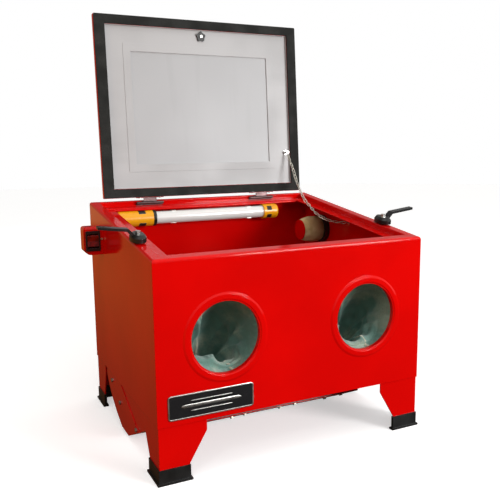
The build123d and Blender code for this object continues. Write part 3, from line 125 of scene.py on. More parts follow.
class Paint:
    """One material's node tree, with a surface shader already joined to its output.

    Args:
        name: the finish's plain name.
    """

    def __init__(self, name: str) -> None:
        self.material = bpy.data.materials.new(name)
        self.material.use_nodes = True
        self.tree = self.material.node_tree
        self.tree.nodes.clear()
        out = self.tree.nodes.new("ShaderNodeOutputMaterial")
        self.shader = self.tree.nodes.new("ShaderNodeBsdfPrincipled")
        self.tree.links.new(self.shader.outputs[0], out.inputs["Surface"])

    def feed(self, socket: bpy.types.NodeSocket, value: "Wire | float | Sequence[float]") -> None:
        """Links a value to a socket, or sets the socket's own value."""
        if isinstance(value, Wire):
            self.tree.links.new(value.socket, socket)
        elif isinstance(value, (tuple, list)) and len(socket.default_value) > len(value):
            socket.default_value = (*value, 1.0)
        else:
            socket.default_value = value

    def node(self, kind: str, settings: dict | None = None, values: dict | None = None,
             output: int | str = 0) -> Wire:
        """Adds any node.

        Args:
            kind: the node's type.
            settings: its own settings, such as an operation, set before its sockets.
            values: what its input sockets take, by name or number.
            output: the output that is wanted.

        Returns:
            The wire of that output.
        """
        made = self.tree.nodes.new(kind)
        for key, value in (settings or {}).items():
            setattr(made, key, value)
        for key, value in (values or {}).items():
            self.feed(made.inputs[key], value)
        return Wire(self, made.outputs[output])

    def sum_of(self, operation: str, one: "Wire | float", two: "Wire | float") -> Wire:
        """One Math node."""
        return self.node("ShaderNodeMath", {"operation": operation}, {0: one, 1: two})

    def place(self, stretch: Place = (1.0, 1.0, 1.0)) -> Wire:
        """Object coordinates, stretched along the axes."""
        here = self.node("ShaderNodeTexCoord", output="Object")
        if stretch == (1.0, 1.0, 1.0):
            return here
        return self.node("ShaderNodeMapping", values={"Vector": here, "Scale": stretch})

    def noise(self, scale: float, detail: float = 2.0, stretch: Place = (1.0, 1.0, 1.0)) -> Wire:
        """Cloudy noise round one half, with features of about one over the scale in metres."""
        values = {"Vector": self.place(stretch), "Scale": scale, "Detail": detail}
        return self.node("ShaderNodeTexNoise", values=values)

    def step(self, value: Wire, low: float, high: float) -> Wire:
        """Rises smoothly from 0 at low to 1 at high."""
        values = {"Value": value, "From Min": low, "From Max": high}
        return self.node("ShaderNodeMapRange", {"interpolation_type": "SMOOTHSTEP"}, values)

    def mix(self, share: "Wire | float", one: "Wire | Colour", two: "Wire | Colour") -> Wire:
        """The first colour, turning to the second as the share goes from 0 to 1."""
        return self.node("ShaderNodeMix", {"data_type": "RGBA"}, {0: share, 6: one, 7: two}, 2)

    def bump(self, height: Wire, depth: float, round_edge: float = 0.0) -> None:
        """Sets the normal from a height of this depth in metres, over edges rounded by this radius."""
        values: dict = {"Height": height, "Distance": depth, "Strength": 1.0}
        if round_edge:
            values["Normal"] = self.node("ShaderNodeBevel", {"samples": 3}, {"Radius": round_edge})
        self.surface({"Normal": self.node("ShaderNodeBump", values=values)})

    def surface(self, values: dict) -> None:
        """Sets or links the surface shader's own sockets."""
        for key, value in values.items():
            self.feed(self.shader.inputs[key], value)


@dataclass(frozen=True)
class Finish:
    """A finish by name, with the colour it starts from, its roughness and how far its edges look rounded."""

    name: str
    colour: Colour
    rough: float = 0.4
    edge: float = 0.0

    def lay(self, paint: Paint) -> None:
        """Builds the nodes. Each finish has its own."""
        raise NotImplementedError

    def material(self) -> bpy.types.Material:
        """The finish as a new material."""
        paint = Paint(self.name)
        self.lay(paint)
        return paint.material


@dataclass(frozen=True)
class PowderCoat(Finish):
    """Glossy baked paint: orange-peel surface, faintly clouded colour, a trace of dust on level faces."""

    def lay(self, paint: Paint) -> None:
        """Colour clouds slightly, dust lightens what faces up, and the peel is a fine bump."""
        cloud = paint.noise(5.0, 4.0)
        deep = tuple(c * 0.86 for c in self.colour)
        colour = paint.mix(paint.step(cloud, 0.3, 0.7), self.colour, deep)
        facing = paint.node("ShaderNodeNewGeometry", output="Normal")
        up = paint.node("ShaderNodeSeparateXYZ", values={0: facing}, output="Z")
        dust = paint.step(up, 0.6, 1.0) * paint.step(paint.noise(24.0, 4.0), 0.45, 0.75) * 0.02
        colour = paint.mix(dust, colour, (0.62, 0.34, 0.28))
        rough = self.rough + paint.noise(38.0, 3.0) * 0.05 + dust
        paint.surface({"Base Color": colour, "Roughness": rough, "Specular IOR Level": 0.22})
        peel = paint.noise(520.0, 2.0) + paint.noise(160.0, 1.0) * 0.8
        paint.bump(peel, 0.00003, self.edge)


@dataclass(frozen=True)
class TrayPaint(Finish):
    """Pale paint of the lid's inner tray, faintly mottled and smudged by use."""

    def lay(self, paint: Paint) -> None:
        """Broad clouds, drawn-out smudges and fine speckle darken the colour a little."""
        broad = paint.step(paint.noise(7.0, 5.0), 0.35, 0.7)
        smudge = paint.step(paint.noise(9.0, 3.0, (0.35, 1.0, 2.2)), 0.55, 0.72)
        speck = paint.noise(420.0, 3.0)
        dull = tuple(c * 0.84 for c in self.colour)
        colour = paint.mix(broad * 0.45 + smudge * 0.35 + speck * 0.16, self.colour, dull)
        rough = self.rough + broad * 0.1
        paint.surface({"Base Color": colour, "Roughness": rough, "Specular IOR Level": 0.4})
        paint.bump(speck, 0.00003, self.edge)


@dataclass(frozen=True)
class Moulded(Finish):
    """Moulded black plastic with a fine pebbled skin and slightly paler rubbed places."""

    grain: float = 900.0

    def lay(self, paint: Paint) -> None:
        """Rubbed places are paler and smoother, and the skin is a fine bump."""
        rubbed = paint.step(paint.noise(60.0, 4.0), 0.5, 0.75)
        pale = tuple(c * 1.5 + 0.004 for c in self.colour)
        colour = paint.mix(rubbed * 0.6, self.colour, pale)
        paint.surface({"Base Color": colour, "Roughness": self.rough - rubbed * 0.08})
        paint.bump(paint.noise(self.grain, 2.0), 0.00006, self.edge)


@dataclass(frozen=True)
class Foam(Finish):
    """Closed-cell black foam or rubber: very dull, with open pores at the cut face."""

    pore: float = 700.0

    def lay(self, paint: Paint) -> None:
        """Cells give both the pits and the specks of paler dust that they hold."""
        values = {"Vector": paint.place(), "Scale": self.pore}
        cell = paint.node("ShaderNodeTexVoronoi", values=values)
        cloud = paint.noise(24.0, 4.0)
        pale = tuple(c * 1.8 + 0.012 for c in self.colour)
        colour = paint.mix(paint.step(cell, 0.1, 0.7) * paint.step(cloud, 0.35, 0.7), self.colour, pale)
        paint.surface({"Base Color": colour, "Roughness": self.rough, "Specular IOR Level": 0.3})
        paint.bump(cell + cloud * 0.5, 0.00015, self.edge)


@dataclass(frozen=True)
class PlatedSteel(Finish):
    """Plated or bare metal with drawn-out polishing marks and cloudy tarnish."""

    grain: Place = (1.0, 9.0, 9.0)

    def lay(self, paint: Paint) -> None:
        """Marks run along one axis, and tarnish dulls and darkens."""
        marks = paint.noise(420.0, 3.0, self.grain)
        cloud = paint.step(paint.noise(90.0, 4.0), 0.4, 0.75)
        dull = tuple(c * 0.55 for c in self.colour)
        colour = paint.mix(cloud * 0.5, self.colour, dull)
        rough = self.rough + marks * 0.12 + cloud * 0.15
        paint.surface({"Base Color": colour, "Roughness": rough, "Metallic": 1.0})
        paint.bump(marks, 0.00002, self.edge)


@dataclass(frozen=True)
class CapPlastic(Finish):
    """Glossy moulded plastic that carries its colour, with grime in faint patches."""

    def lay(self, paint: Paint) -> None:
        """Grime patches are darker and duller."""
        grime = paint.step(paint.noise(55.0, 5.0), 0.52, 0.8)
        dark = tuple(c * 0.45 for c in self.colour)
        colour = paint.mix(grime * 0.5, self.colour, dark)
        rough = self.rough + grime * 0.25
        paint.surface({"Base Color": colour, "Roughness": rough, "Coat Roughness": 0.1})
        paint.bump(paint.noise(300.0, 2.0), 0.00004, self.edge)


@dataclass(frozen=True)
class TubeGlass(Finish):
    """Milky lamp tube over a bright reflector: silvery grey with faint lengthwise bands and soft clouds."""

    def lay(self, paint: Paint) -> None:
        """Lengthwise bands and soft clouds vary a silvery grey under a clear glossy skin."""
        bands = paint.noise(30.0, 2.0, (0.15, 6.0, 6.0))
        cloud = paint.noise(12.0, 3.0)
        dark = tuple(c * 0.8 for c in self.colour)
        colour = paint.mix(bands * 0.5 + cloud * 0.3, self.colour, dark)
        paint.surface({"Base Color": colour, "Roughness": self.rough + cloud * 0.08,
                       "Coat Roughness": 0.03})
        paint.surface({"Coat Weight": 0.8})


@dataclass(frozen=True)
class PleatPaper(Finish):
    """Cream filter paper, dusty in its folds, with painted shade that turns it browner towards the wall end.
    """

    near: float = 0.221
    far: float = 0.2865

    def lay(self, paint: Paint) -> None:
        """The X coordinate turns cream to brown as painted shade towards the wall end, and fibres and dust
        vary it.
        """
        along = paint.node("ShaderNodeSeparateXYZ", values={0: paint.place()}, output="X")
        # painted shade: the paper darkens to brown towards the wall end
        end = paint.step(along, self.near, self.far * 1.02)
        fibre = paint.noise(700.0, 3.0, (0.2, 1.0, 1.0))
        dust = paint.step(paint.noise(60.0, 4.0), 0.45, 0.75)
        colour = paint.mix(end * 0.85, self.colour, (0.24, 0.10, 0.03))
        colour = paint.mix(dust * 0.45 + fibre * 0.3, colour, (0.38, 0.22, 0.09))
        paint.surface({"Base Color": colour, "Roughness": self.rough, "Specular IOR Level": 0.2})
        paint.bump(fibre, 0.0001)


@dataclass(frozen=True)
class GloveCloth(Finish):
    """Napped coated cotton: teal grey, paler and greener where it is rubbed."""

    worn: Colour = (0.27, 0.29, 0.23)

    def lay(self, paint: Paint) -> None:
        """Nap is a fine noise, a twill shows faintly, and rubbed places are paler."""
        nap = paint.noise(850.0, 4.0)
        patch = paint.step(paint.noise(16.0, 4.0), 0.46, 0.66)
        wave = {"Vector": paint.place((1.0, 0.6, 1.0)), "Scale": 330.0, "Distortion": 1.5}
        twill = paint.node("ShaderNodeTexWave", {"wave_type": "BANDS", "bands_direction": "DIAGONAL"}, wave)
        dark = tuple(c * 0.55 for c in self.colour)
        colour = paint.mix(patch, self.colour, self.worn)
        colour = paint.mix(paint.step(nap, 0.35, 0.7) * 0.7 + twill * 0.12, colour, dark)
        paint.surface({"Base Color": colour, "Roughness": self.rough, "Specular IOR Level": 0.15})
        paint.shader.inputs["Sheen Weight"].default_value = 0.35
        paint.shader.inputs["Sheen Roughness"].default_value = 0.6
        paint.bump(nap + twill * 0.5, 0.0005)


@dataclass(frozen=True)
class MilkGlass(Finish):
    """Blast-frosted window under a protective film: pale, slightly see-through, a little streaked."""

    def lay(self, paint: Paint) -> None:
        """Frosting and streaks vary both the colour and how dull the face is."""
        frost = paint.noise(6.0, 5.0)
        streak = paint.step(paint.noise(14.0, 3.0, (3.0, 1.0, 0.25)), 0.52, 0.75)
        fine = paint.noise(900.0, 2.0)
        dull = tuple(c * 0.88 for c in self.colour)
        colour = paint.mix(frost * 0.7 + streak * 0.3 + fine * 0.15, self.colour, dull)
        paint.surface({"Base Color": colour, "Roughness": self.rough + frost * 0.12, "Alpha": 0.96})
        paint.bump(fine, 0.00003)


@dataclass(frozen=True)
class RedLens(Finish):
    """Glossy translucent red plastic, darker in soft clouds."""

    def lay(self, paint: Paint) -> None:
        """Soft clouds give depth under a hard clear skin."""
        cloud = paint.step(paint.noise(120.0, 2.0), 0.35, 0.65)
        deep = tuple(c * 0.35 for c in self.colour)
        paint.surface({"Base Color": paint.mix(cloud, self.colour, deep), "Roughness": self.rough,
                       "Subsurface Weight": 0.0, "Coat Weight": 0.6})
        paint.bump(cloud, 0.00005, self.edge)


RED = PowderCoat("red_powder_coat", (0.66, 0.0016, 0.0010), 0.07, 0.0011)
TRAY = TrayPaint("tray_paint", (0.42, 0.42, 0.425), 0.42, 0.0004)
BLACK = Moulded("black_moulding", (0.0065, 0.0065, 0.0065), 0.32, 0.0008)
RUBBER = Foam("foot_rubber", (0.006, 0.006, 0.006), 0.34, 0.0010, pore=1500.0)
GASKET = Foam("gasket_foam", (0.0055, 0.006, 0.005), 0.8)
ZINC = PlatedSteel("zinc_plate", (0.66, 0.65, 0.62), 0.22, 0.0003)
# hinge steel: its dark maroon colour is a painted reflection of the red body plus painted shade; the clouds
# are the plated steel's own tarnish
HINGE = PlatedSteel("hinge_steel_painted_reflection", (0.11, 0.07, 0.07), 0.34, 0.0004)
BOLT = PlatedSteel("dulled_zinc", (0.34, 0.32, 0.27), 0.4, 0.0003)
CHAIN = PlatedSteel("chain_steel", (0.72, 0.70, 0.62), 0.2)
GRATE = PlatedSteel("grate_steel", (0.36, 0.36, 0.36), 0.42)
ALLOY = PlatedSteel("cast_alloy", (0.55, 0.55, 0.56), 0.46, 0.001, grain=(3.0, 3.0, 3.0))
BRASS = PlatedSteel("turned_brass", (0.72, 0.5, 0.18), 0.24, 0.0005)
YELLOW = CapPlastic("yellow_cap", (0.80, 0.34, 0.004), 0.26, 0.0008)
CERAMIC = CapPlastic("glazed_ceramic", (0.78, 0.75, 0.68), 0.2)
TUBE = TubeGlass("lamp_tube_glass", (0.76, 0.75, 0.73), 0.16)
PAPER = PleatPaper("filter_paper", (0.74, 0.6, 0.33), 0.9)
CLOTH = GloveCloth("glove_cloth", (0.13, 0.27, 0.225), 0.95, worn=(0.40, 0.47, 0.36))
SEAM = GloveCloth("seam_tape", (0.62, 0.58, 0.42), 0.9, worn=(0.7, 0.66, 0.5))
PANE = MilkGlass("frosted_window", (0.405, 0.41, 0.42), 0.38)
LENS = RedLens("red_lens", (0.20, 0.004, 0.003), 0.16, 0.0006)
PLATE = Moulded("plate_enamel", (0.010, 0.010, 0.011), 0.26, 0.0004, grain=300.0)

DRESS: dict[Finish, str] = {
    RED: "front_panel left_side_panel right_side_panel rear_panel rear_rim_rail front_left_leg "
         "front_right_leg rear_left_leg rear_right_leg hopper_trough hopper_left_end hopper_right_end "
         "clean_out_cover filter_end_plate switch_box lid_shell",
    BLACK: "filter_base_plate gun_trigger switch_bezel left_latch_lever right_latch_lever knob_washer "
           "lift_knob",
    RUBBER: "foot_caps clean_out_gasket",
    GASKET: "lid_gasket",
    ZINC: "rim_screws glove_clamps leg_bolts lamp_clips filter_rod gun_trigger_pin switch_screw "
          "latch_screws knob_screw lid_hinge_screws chain_bolt chain_anchor",
    HINGE: "hinge_rear_leaves hinge_pins hinge_lid_leaves",
    BOLT: "hopper_bolts",
    GRATE: "work_grate",
    ALLOY: "gun_body",
    BRASS: "air_inlet_fitting",
    YELLOW: "lamp_left_cap lamp_right_cap",
    CERAMIC: "gun_nozzle",
    TUBE: "lamp_tube",
    TRAY: "lid_tray window_frame",
    PANE: "window_pane",
    LENS: "rocker_switch",
    PLATE: "name_plate",
}


# ---- meshes ------------------------------------------------------------------------------------------
class Skin:
    """Grids of points gathered into one mesh."""

    def __init__(self) -> None:
        self.points: list[np.ndarray] = []
        self.faces: list[np.ndarray] = []
        self.ends: list[list[int]] = []
        self.count = 0

    def grid(self, net: np.ndarray, around: bool = True, capped: bool = False, ring: bool = False) -> None:
        """Adds a grid of quads.

        Args:
            net: points by row and column.
            around: whether each row's last point joins its first.
            capped: whether the first and last rows are filled.
            ring: whether the last row joins the first.
        """
        rows, columns = net.shape[:2]
        number = np.arange(rows * columns).reshape(rows, columns) + self.count
        if around:
            number = np.concatenate([number, number[:, :1]], axis=1)
        if ring:
            number = np.concatenate([number, number[:1]], axis=0)
        quads = np.stack([number[:-1, :-1], number[:-1, 1:], number[1:, 1:], number[1:, :-1]], axis=-1)
        self.points.append(net.reshape(-1, 3))
        self.faces.append(quads.reshape(-1, 4))
        if capped:
            self.ends += [number[0, :columns][::-1].tolist(), number[-1, :columns].tolist()]
        self.count += rows * columns

    def build(self, name: str, finish: bpy.types.Material, sharp: float = 0.9) -> bpy.types.Object:
        """Makes the object, with its faces outwards and its edges sharp above an angle in radians."""
        mesh = bpy.data.meshes.new(name)
        faces = [f for block in self.faces for f in block.tolist()] + self.ends
        mesh.from_pydata(np.concatenate(self.points).tolist(), [], faces)
        work = bmesh.new()
        work.from_mesh(mesh)
        bmesh.ops.remove_doubles(work, verts=work.verts, dist=1e-7)
        bmesh.ops.recalc_face_normals(work, faces=work.faces)
        work.to_mesh(mesh)
        work.free()
        mesh.shade_smooth()
        mesh.set_sharp_from_angle(angle=sharp)
        mesh.materials.append(finish)
        piece = bpy.data.objects.new(name, mesh)
        bpy.context.scene.collection.objects.link(piece)
        return piece


def unit(vectors: np.ndarray) -> np.ndarray:
    """The vectors, each made one long."""
    return vectors / np.maximum(np.linalg.norm(vectors, axis=-1, keepdims=True), 1e-12)


def smooth_line(points: np.ndarray, samples: int) -> np.ndarray:
    """Points evenly apart along the smooth curve through the given ones.

    Each stretch is the cubic whose slopes at its ends are half the chord between the neighbours on each side.
    """
    before = np.vstack([2 * points[0] - points[1], points[:-1]])
    after = np.vstack([points[1:], 2 * points[-1] - points[-2]])
    slopes = (after - before) / 2
    t = np.linspace(0, 1, 24, endpoint=False)[None, :, None]
    p, q, m, n = points[:-1, None], points[1:, None], slopes[:-1, None], slopes[1:, None]
    curve = (2 * t**3 - 3 * t**2 + 1) * p + (t**3 - 2 * t**2 + t) * m
    curve = curve + (3 * t**2 - 2 * t**3) * q + (t**3 - t**2) * n
    line = np.vstack([curve.reshape(-1, 3), points[-1:]])
    far = np.concatenate([[0], np.cumsum(np.linalg.norm(np.diff(line, axis=0), axis=1))])
    at = np.linspace(0, far[-1], samples)
    return np.stack([np.interp(at, far, line[:, k]) for k in range(3)], axis=1)


def tube(line: np.ndarray, radius: np.ndarray | float, sides: int, closed: bool = False) -> np.ndarray:
    """Net of a round bar: rings square to a line, with side vectors square to one fixed direction.

    Args:
        line: the bar's middle points.
        radius: its radius, one number or one for each point.
        sides: points round each ring.
        closed: whether the line joins up.

    Returns:
        The net, ring by ring.
    """
    if closed:
        along = unit(np.roll(line, -1, axis=0) - np.roll(line, 1, axis=0))
    else:
        along = unit(np.gradient(line, axis=0))
    spare = unit(np.cross(np.ptp(line, axis=0), np.array([0.31, 0.55, 0.77])) + 1e-9)
    across = unit(np.cross(along, spare[None, :]))
    up = np.cross(along, across)
    angle = np.linspace(0, TURN, sides, endpoint=False)[None, :, None]
    size = np.broadcast_to(np.asarray(radius, float), (len(line),))[:, None, None]
    return line[:, None] + size * (np.cos(angle) * across[:, None] + np.sin(angle) * up[:, None])


def lathe(profile: np.ndarray, centre: np.ndarray, sides: int) -> np.ndarray:
    """Net of a shape turned about the X axis through the centre: profile rows are (X, radius)."""
    angle = np.linspace(0, TURN, sides, endpoint=False)[None, :]
    x = np.broadcast_to(profile[:, :1], (len(profile), sides))
    r = profile[:, 1:2]
    return np.stack([x, centre[1] + r * np.cos(angle), centre[2] + r * np.sin(angle)], axis=-1)


# ---- the pieces --------------------------------------------------------------------------------------
class Side(Enum):
    """Which arm port."""

    LEFT = -1
    RIGHT = 1


@dataclass
class ArmGlove:
    """A cloth sleeve clamped round a port, drooping with folds to a hand that lies towards the grate."""

    side: Side
    port: float = 155.0  # the port's middle, out from the centre
    thick: float = 1.6 * MM
    path: np.ndarray = field(default_factory=lambda: np.array([
        # depth, height, radius
        (3.2, 151.0, 71.6), (18.0, 151.0, 71.2), (42.0, 147.5, 69.0), (66.0, 134.0, 64.0),
        (86.0, 112.0, 57.0), (101.0, 88.0, 48.5), (111.0, 66.0, 38.0), (122.0, 48.0, 26.0),
        (140.0, 39.0, 18.0), (158.0, 36.5, 15.0)]))
    reaches: tuple[float, ...] = (38.0, 45.0, 43.0, 34.0, 40.0)  # four fingers and the thumb
    finger: float = 9.4  # a finger's radius
    grate_top: float = 31.0  # lowest a finger's middle line may lie

    def net(self, rows: int = 150, columns: int = 220) -> np.ndarray:
        """Rings along the drooping line; each ring's radius dips in folds that deepen away from the clamp.

        A fold is a sharp inward crease where a sine of the angle crosses zero. Its phase drifts along the
        sleeve, so the folds wander. The ring flattens as the cloth hangs, and widens to a palm at its end.

        Args:
            rows: rings along the sleeve.
            columns: points round each ring.

        Returns:
            The net of points, ring by ring, in metres.
        """
        side = self.side.value
        centre = np.column_stack([np.zeros(len(self.path)), self.path[:, :2]])
        line = smooth_line(centre, rows)
        t = np.linspace(0, 1, rows)[:, None]
        share = np.linspace(0, 1, len(self.path))
        radius = np.interp(t[:, 0], share, self.path[:, 2])[:, None]
        along = unit(np.gradient(line, axis=0))
        angle = np.linspace(0, TURN, columns, endpoint=False)[None, :]
        loose = np.clip((t - 0.045) / 0.26, 0, 1) ** 1.2
        folds = 0.62 * (1 - np.abs(np.sin(1.5 * angle + 0.45 * side + 1.3 * t))) ** 1.4
        folds = folds + 0.34 * (1 - np.abs(np.sin(2.5 * angle - 2.5 * t + side))) ** 1.6
        folds = folds + 0.08 * np.sin(11 * angle + 9 * t) * np.sin(8 * t + side) ** 2
        pucker = 0.012 * np.sin(34 * angle) * np.exp(-((t - 0.07) / 0.03) ** 2)
        size = radius * (1 - 0.52 * loose * folds + pucker)
        ripple = 0.03 * loose * np.sin(46 * t + 2.5 * np.sin(2 * angle + side) + 1.3 * angle)
        size = size * (1 + ripple)
        up = np.cross(along, np.array([-1.0, 0.0, 0.0]))
        x = size * np.cos(angle)
        x = x * (1 + 0.95 * np.clip((t - 0.82) / 0.16, 0, 1) ** 1.5)
        rise = size * np.sin(angle) * (1 - 0.10 * loose)
        sway = 6.0 * side * loose * t
        points = line[:, None] + rise[..., None] * up[:, None]
        points[..., 0] = side * self.port + x + sway
        return points * MM + np.array([0.0, FRONT_Y, BASE_Z])

    def fingers(self, skin: Skin) -> None:
        """Adds four fingers and a thumb: tapering rounded bars that hang from the palm."""
        side = self.side.value
        for number in range(5):
            thumb = number == 4
            across = (-21 + 13.5 * number) if not thumb else -31.0 * side
            root = (across * 0.9, 150.0, 38.0) if not thumb else (across * 0.8, 128.0, 44.0)
            reach = self.reaches[number]
            bend = np.array([[0, 0, 0], [across * 0.06, reach * 0.3, 1.5 * number % 4],
                             [across * 0.10, reach * 0.65, -2.0], [across * 0.12, reach * 1.0, -6.0]])
            line = smooth_line(np.array(root) + bend, 26)
            line[:, 0] += side * self.port + 6.0 * side
            line[:, 2] = np.maximum(line[:, 2], self.grate_top)
            t = np.linspace(0, 1, len(line))
            tip = np.sqrt(np.clip(1 - ((t - 0.85) / 0.15).clip(0) ** 2, 0.0, 1))
            radius = self.finger * tip * (1 + 0.05 * np.sin(40 * t))
            net = tube(line * MM, np.maximum(radius, 0.05) * MM, 20)
            skin.grid(net + np.array([0.0, FRONT_Y, BASE_Z]), capped=True)

    def build(self, cloth: bpy.types.Material, tape: bpy.types.Material) -> None:
        """Makes the sleeve with its closed end, the fingers and the seam tape.

        Args:
            cloth: the glove's cloth.
            tape: the tape over its seams.
        """
        word = self.side.name.lower()
        net = self.net()
        skin = Skin()
        tip = net[-1].mean(axis=0, keepdims=True)
        closing = np.linspace(0, 1, 8)[1:, None, None]
        dome = net[-1][None] * (1 - closing) + tip * closing
        dome[..., 2] -= 0.016 * np.sqrt(1 - (1 - closing[..., 0]) ** 2)
        skin.grid(np.concatenate([net, dome]))
        glove = skin.build(f"{word}_glove_cloth", cloth, 3.0)
        wall = glove.modifiers.new("cloth_wall", "SOLIDIFY")
        wall.thickness, wall.offset = self.thick, 0.0
        dress_piece(glove, "cabinet", "glove_cloth", f"{word}_glove")
        hand = Skin()
        self.fingers(hand)
        dress_piece(hand.build(f"{word}_glove_fingers", cloth, 3.0), "cabinet", "glove_cloth")
        tapes = Skin()
        columns = net.shape[1]
        for share in (0.79, 0.30):
            column = int(share * columns)
            line = net[6:140:2, column]
            inward = unit(net[6:140:2].mean(axis=1) - line)
            side_way = unit(np.cross(np.gradient(line, axis=0), inward))
            width = np.array([-2.6, -2.0, 2.0, 2.6]) * MM
            lift = np.array([0.6, 1.5, 1.5, 0.6]) * MM
            ribbon = line[:, None] + width[None, :, None] * side_way[:, None]
            ribbon = ribbon + lift[None, :, None] * inward[:, None]
            tapes.grid(ribbon, around=True, capped=True)
        dress_piece(tapes.build(f"{word}_glove_seams", tape, 1.2), "cabinet", "glove_cloth")


def dress_piece(piece: bpy.types.Object, body: str, slot: str, *nodes: str) -> None:
    """Rides a new piece on its body, and lets it stand for the nodes, if any."""
    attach(piece, body)
    if nodes:
        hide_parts(*nodes)
    LOG.info("%s rides on %s", piece.name, body)


@dataclass
class ExhaustFilter:
    """Pleated paper between the end plate and the wall."""

    pleats: int = 64
    near: float = 25.2 * MM
    middle: float = 32.6 * MM
    far: float = 31.0 * MM
    bore: float = 18.2 * MM

    def build(self, paper: bpy.types.Material) -> None:
        """Radius is the parabola through three radii, less a fold as deep as a triangle wave of the angle."""
        low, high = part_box("filter_element")
        centre = np.array([(a + b) / 2 for a, b in zip(low, high)])
        t = np.linspace(0, 1, 22)[:, None]
        curve = self.near * (1 - t) * (1 - 2 * t) + 4 * self.middle * t * (1 - t) + self.far * t * (2 * t - 1)
        angle = np.linspace(0, TURN, self.pleats * 6, endpoint=False)[None, :]
        wave = np.abs((angle * self.pleats / TURN) % 1.0 - 0.5) * 2
        size = curve * (1 - 0.085 * wave**1.6) + 0.0003 * np.sin(angle * 7 + 11 * t)
        x = low[0] + t * (high[0] - low[0]) + 0 * angle
        outer = np.stack([x, centre[1] + size * np.cos(angle), centre[2] + size * np.sin(angle)], axis=-1)
        inner_size = np.full_like(size[[0, -1]], self.bore)
        ends = np.stack([x[[0, -1]], centre[1] + inner_size * np.cos(angle),
                         centre[2] + inner_size * np.sin(angle)], axis=-1)
        skin = Skin()
        skin.grid(np.concatenate([outer, ends[1:], ends[:1]]), ring=True)
        dress_piece(skin.build("filter_pleats", paper, 0.5), "cabinet", "filter_paper", "filter_element")


@dataclass
class WorkLamp:
    """Pads and mouth ring of the lamp's two caps."""

    radius: float = 18.5 * MM
    raise_by: float = 0.7 * MM
    sunk: float = 0.3 * MM  # how far a pad's edge lies below the cap's surface
    rows: int = 12
    columns: int = 18

    def middle(self) -> np.ndarray:
        """Middle of the lamp's tube."""
        low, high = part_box("lamp_tube")
        return np.array([(a + b) / 2 for a, b in zip(low, high)])

    def pad(self, skin: Skin, x0: float, x1: float, a0: float, a1: float) -> None:
        """Adds a raised patch of the cap's cylinder.

        Args:
            skin: what gathers the patches.
            x0: where it starts, in millimetres along X.
            x1: where it ends.
            a0: its lower edge, in degrees round the tube from the front.
            a1: its upper edge.
        """
        middle = self.middle()
        u = np.linspace(x0, x1, self.rows)[:, None] * MM
        angle = np.radians(np.linspace(a0, a1, self.columns))[None, :]
        edge = np.minimum(np.linspace(0, 1, self.rows), np.linspace(1, 0, self.rows))[:, None]
        side = np.minimum(np.linspace(0, 1, self.columns), np.linspace(1, 0, self.columns))[None, :]
        swell = np.clip(np.minimum(edge * (self.rows - 1), side * (self.columns - 1)), 0, 1) ** 0.5
        r = self.radius - self.sunk + swell * (self.raise_by + self.sunk)
        net = np.stack([u + 0 * angle, middle[1] - r * np.cos(angle), middle[2] + r * np.sin(angle)], axis=-1)
        skin.grid(net, around=False)

    def build(self, black: bpy.types.Material) -> None:
        """Makes the pads of both caps and the ring at the left cap's mouth."""
        pads = Skin()
        self.pad(pads, -188.0, -170.0, 38.0, 88.0)
        self.pad(pads, -188.0, -170.0, -72.0, -30.0)
        self.pad(pads, 150.0, 164.0, 12.0, 50.0)
        self.pad(pads, 150.0, 164.0, -58.0, -20.0)
        dress_piece(pads.build("lamp_cap_pads", black, 0.9), "cabinet", "black_plastic")
        ring = Skin()
        profile = np.array([(-152.0, 15.1), (-152.0, 18.9), (-151.0, 19.3), (-145.5, 19.3), (-144.5, 18.6),
                            (-144.5, 15.1)]) * MM
        ring.grid(lathe(profile, self.middle(), 96), ring=True)
        dress_piece(ring.build("lamp_mouth_ring", black, 0.6), "cabinet", "black_plastic")


@dataclass
class LidChain:
    """Twisted wire links between the lid's bolt and the eye on the wall."""

    pitch: float = 9.0 * MM
    half_long: float = 6.2 * MM
    half_wide: float = 3.1 * MM
    wire: float = 0.9 * MM

    def route(self) -> np.ndarray:
        """Points from the wall's eye to the bolt, sagging past the rim's ledge."""
        low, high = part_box("chain_bolt")
        bolt = np.array([(low[0] + high[0]) / 2, low[1] + 3 * MM, (low[2] + high[2]) / 2 - 4 * MM])
        inner = [body_point(*p) for p in (
            (281.5, 265.0, 309.5), (271.0, 280.6, 309.8), (260.0, 297.4, 312.0), (252.0, 308.0, 315.8),
            (246.0, 319.0, 320.8), (242.0, 334.0, 327.7), (240.0, 348.7, 336.4), (239.0, 365.6, 346.8),
            (238.0, 385.0, 358.0), (234.0, 402.6, 383.0), (231.0, 417.0, 408.0), (229.0, 435.0, 443.0))]
        return np.vstack([inner, bolt])

    def build(self, steel: bpy.types.Material) -> None:
        """Each link is a long oval of round wire on the line, turned a quarter from its neighbour."""
        rough = smooth_line(self.route(), 400)
        length = np.linalg.norm(np.diff(rough, axis=0), axis=1).sum()
        count = int(length / self.pitch)
        line = smooth_line(self.route(), count + 1)
        middles = (line[:-1] + line[1:]) / 2
        along = unit(np.diff(line, axis=0))
        side = unit(np.cross(along, np.array([0.2, 0.3, 1.0])))
        up = np.cross(along, side)
        angle = np.linspace(0, TURN, 20, endpoint=False)
        skin = Skin()
        for number, (middle, a, s, u) in enumerate(zip(middles, along, side, up)):
            turn = np.pi / 4 + number * np.pi / 2 + 0.25 * np.sin(number * 2.4)
            flat = np.cos(turn) * s + np.sin(turn) * u
            twist = 0.35 * np.sin(angle)[:, None] * np.cross(a, flat) * self.half_wide
            oval = (np.sign(np.cos(angle)) * np.abs(np.cos(angle)) ** 0.8)[:, None] * a * self.half_long
            oval = oval + np.sin(angle)[:, None] * flat * self.half_wide + twist * np.cos(angle)[:, None]
            skin.grid(tube(middle + oval, self.wire, 7, closed=True), ring=True)
        piece = skin.build("lid_chain_links", steel, 3.0)
        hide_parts("lid_chain")
        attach(piece, "cabinet")
        piece.parent = None  # the chain runs from the cabinet to the lid, so it hangs on no single body
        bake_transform(piece)
        LOG.info("%s bends between cabinet and lid, %d links", piece.name, count)


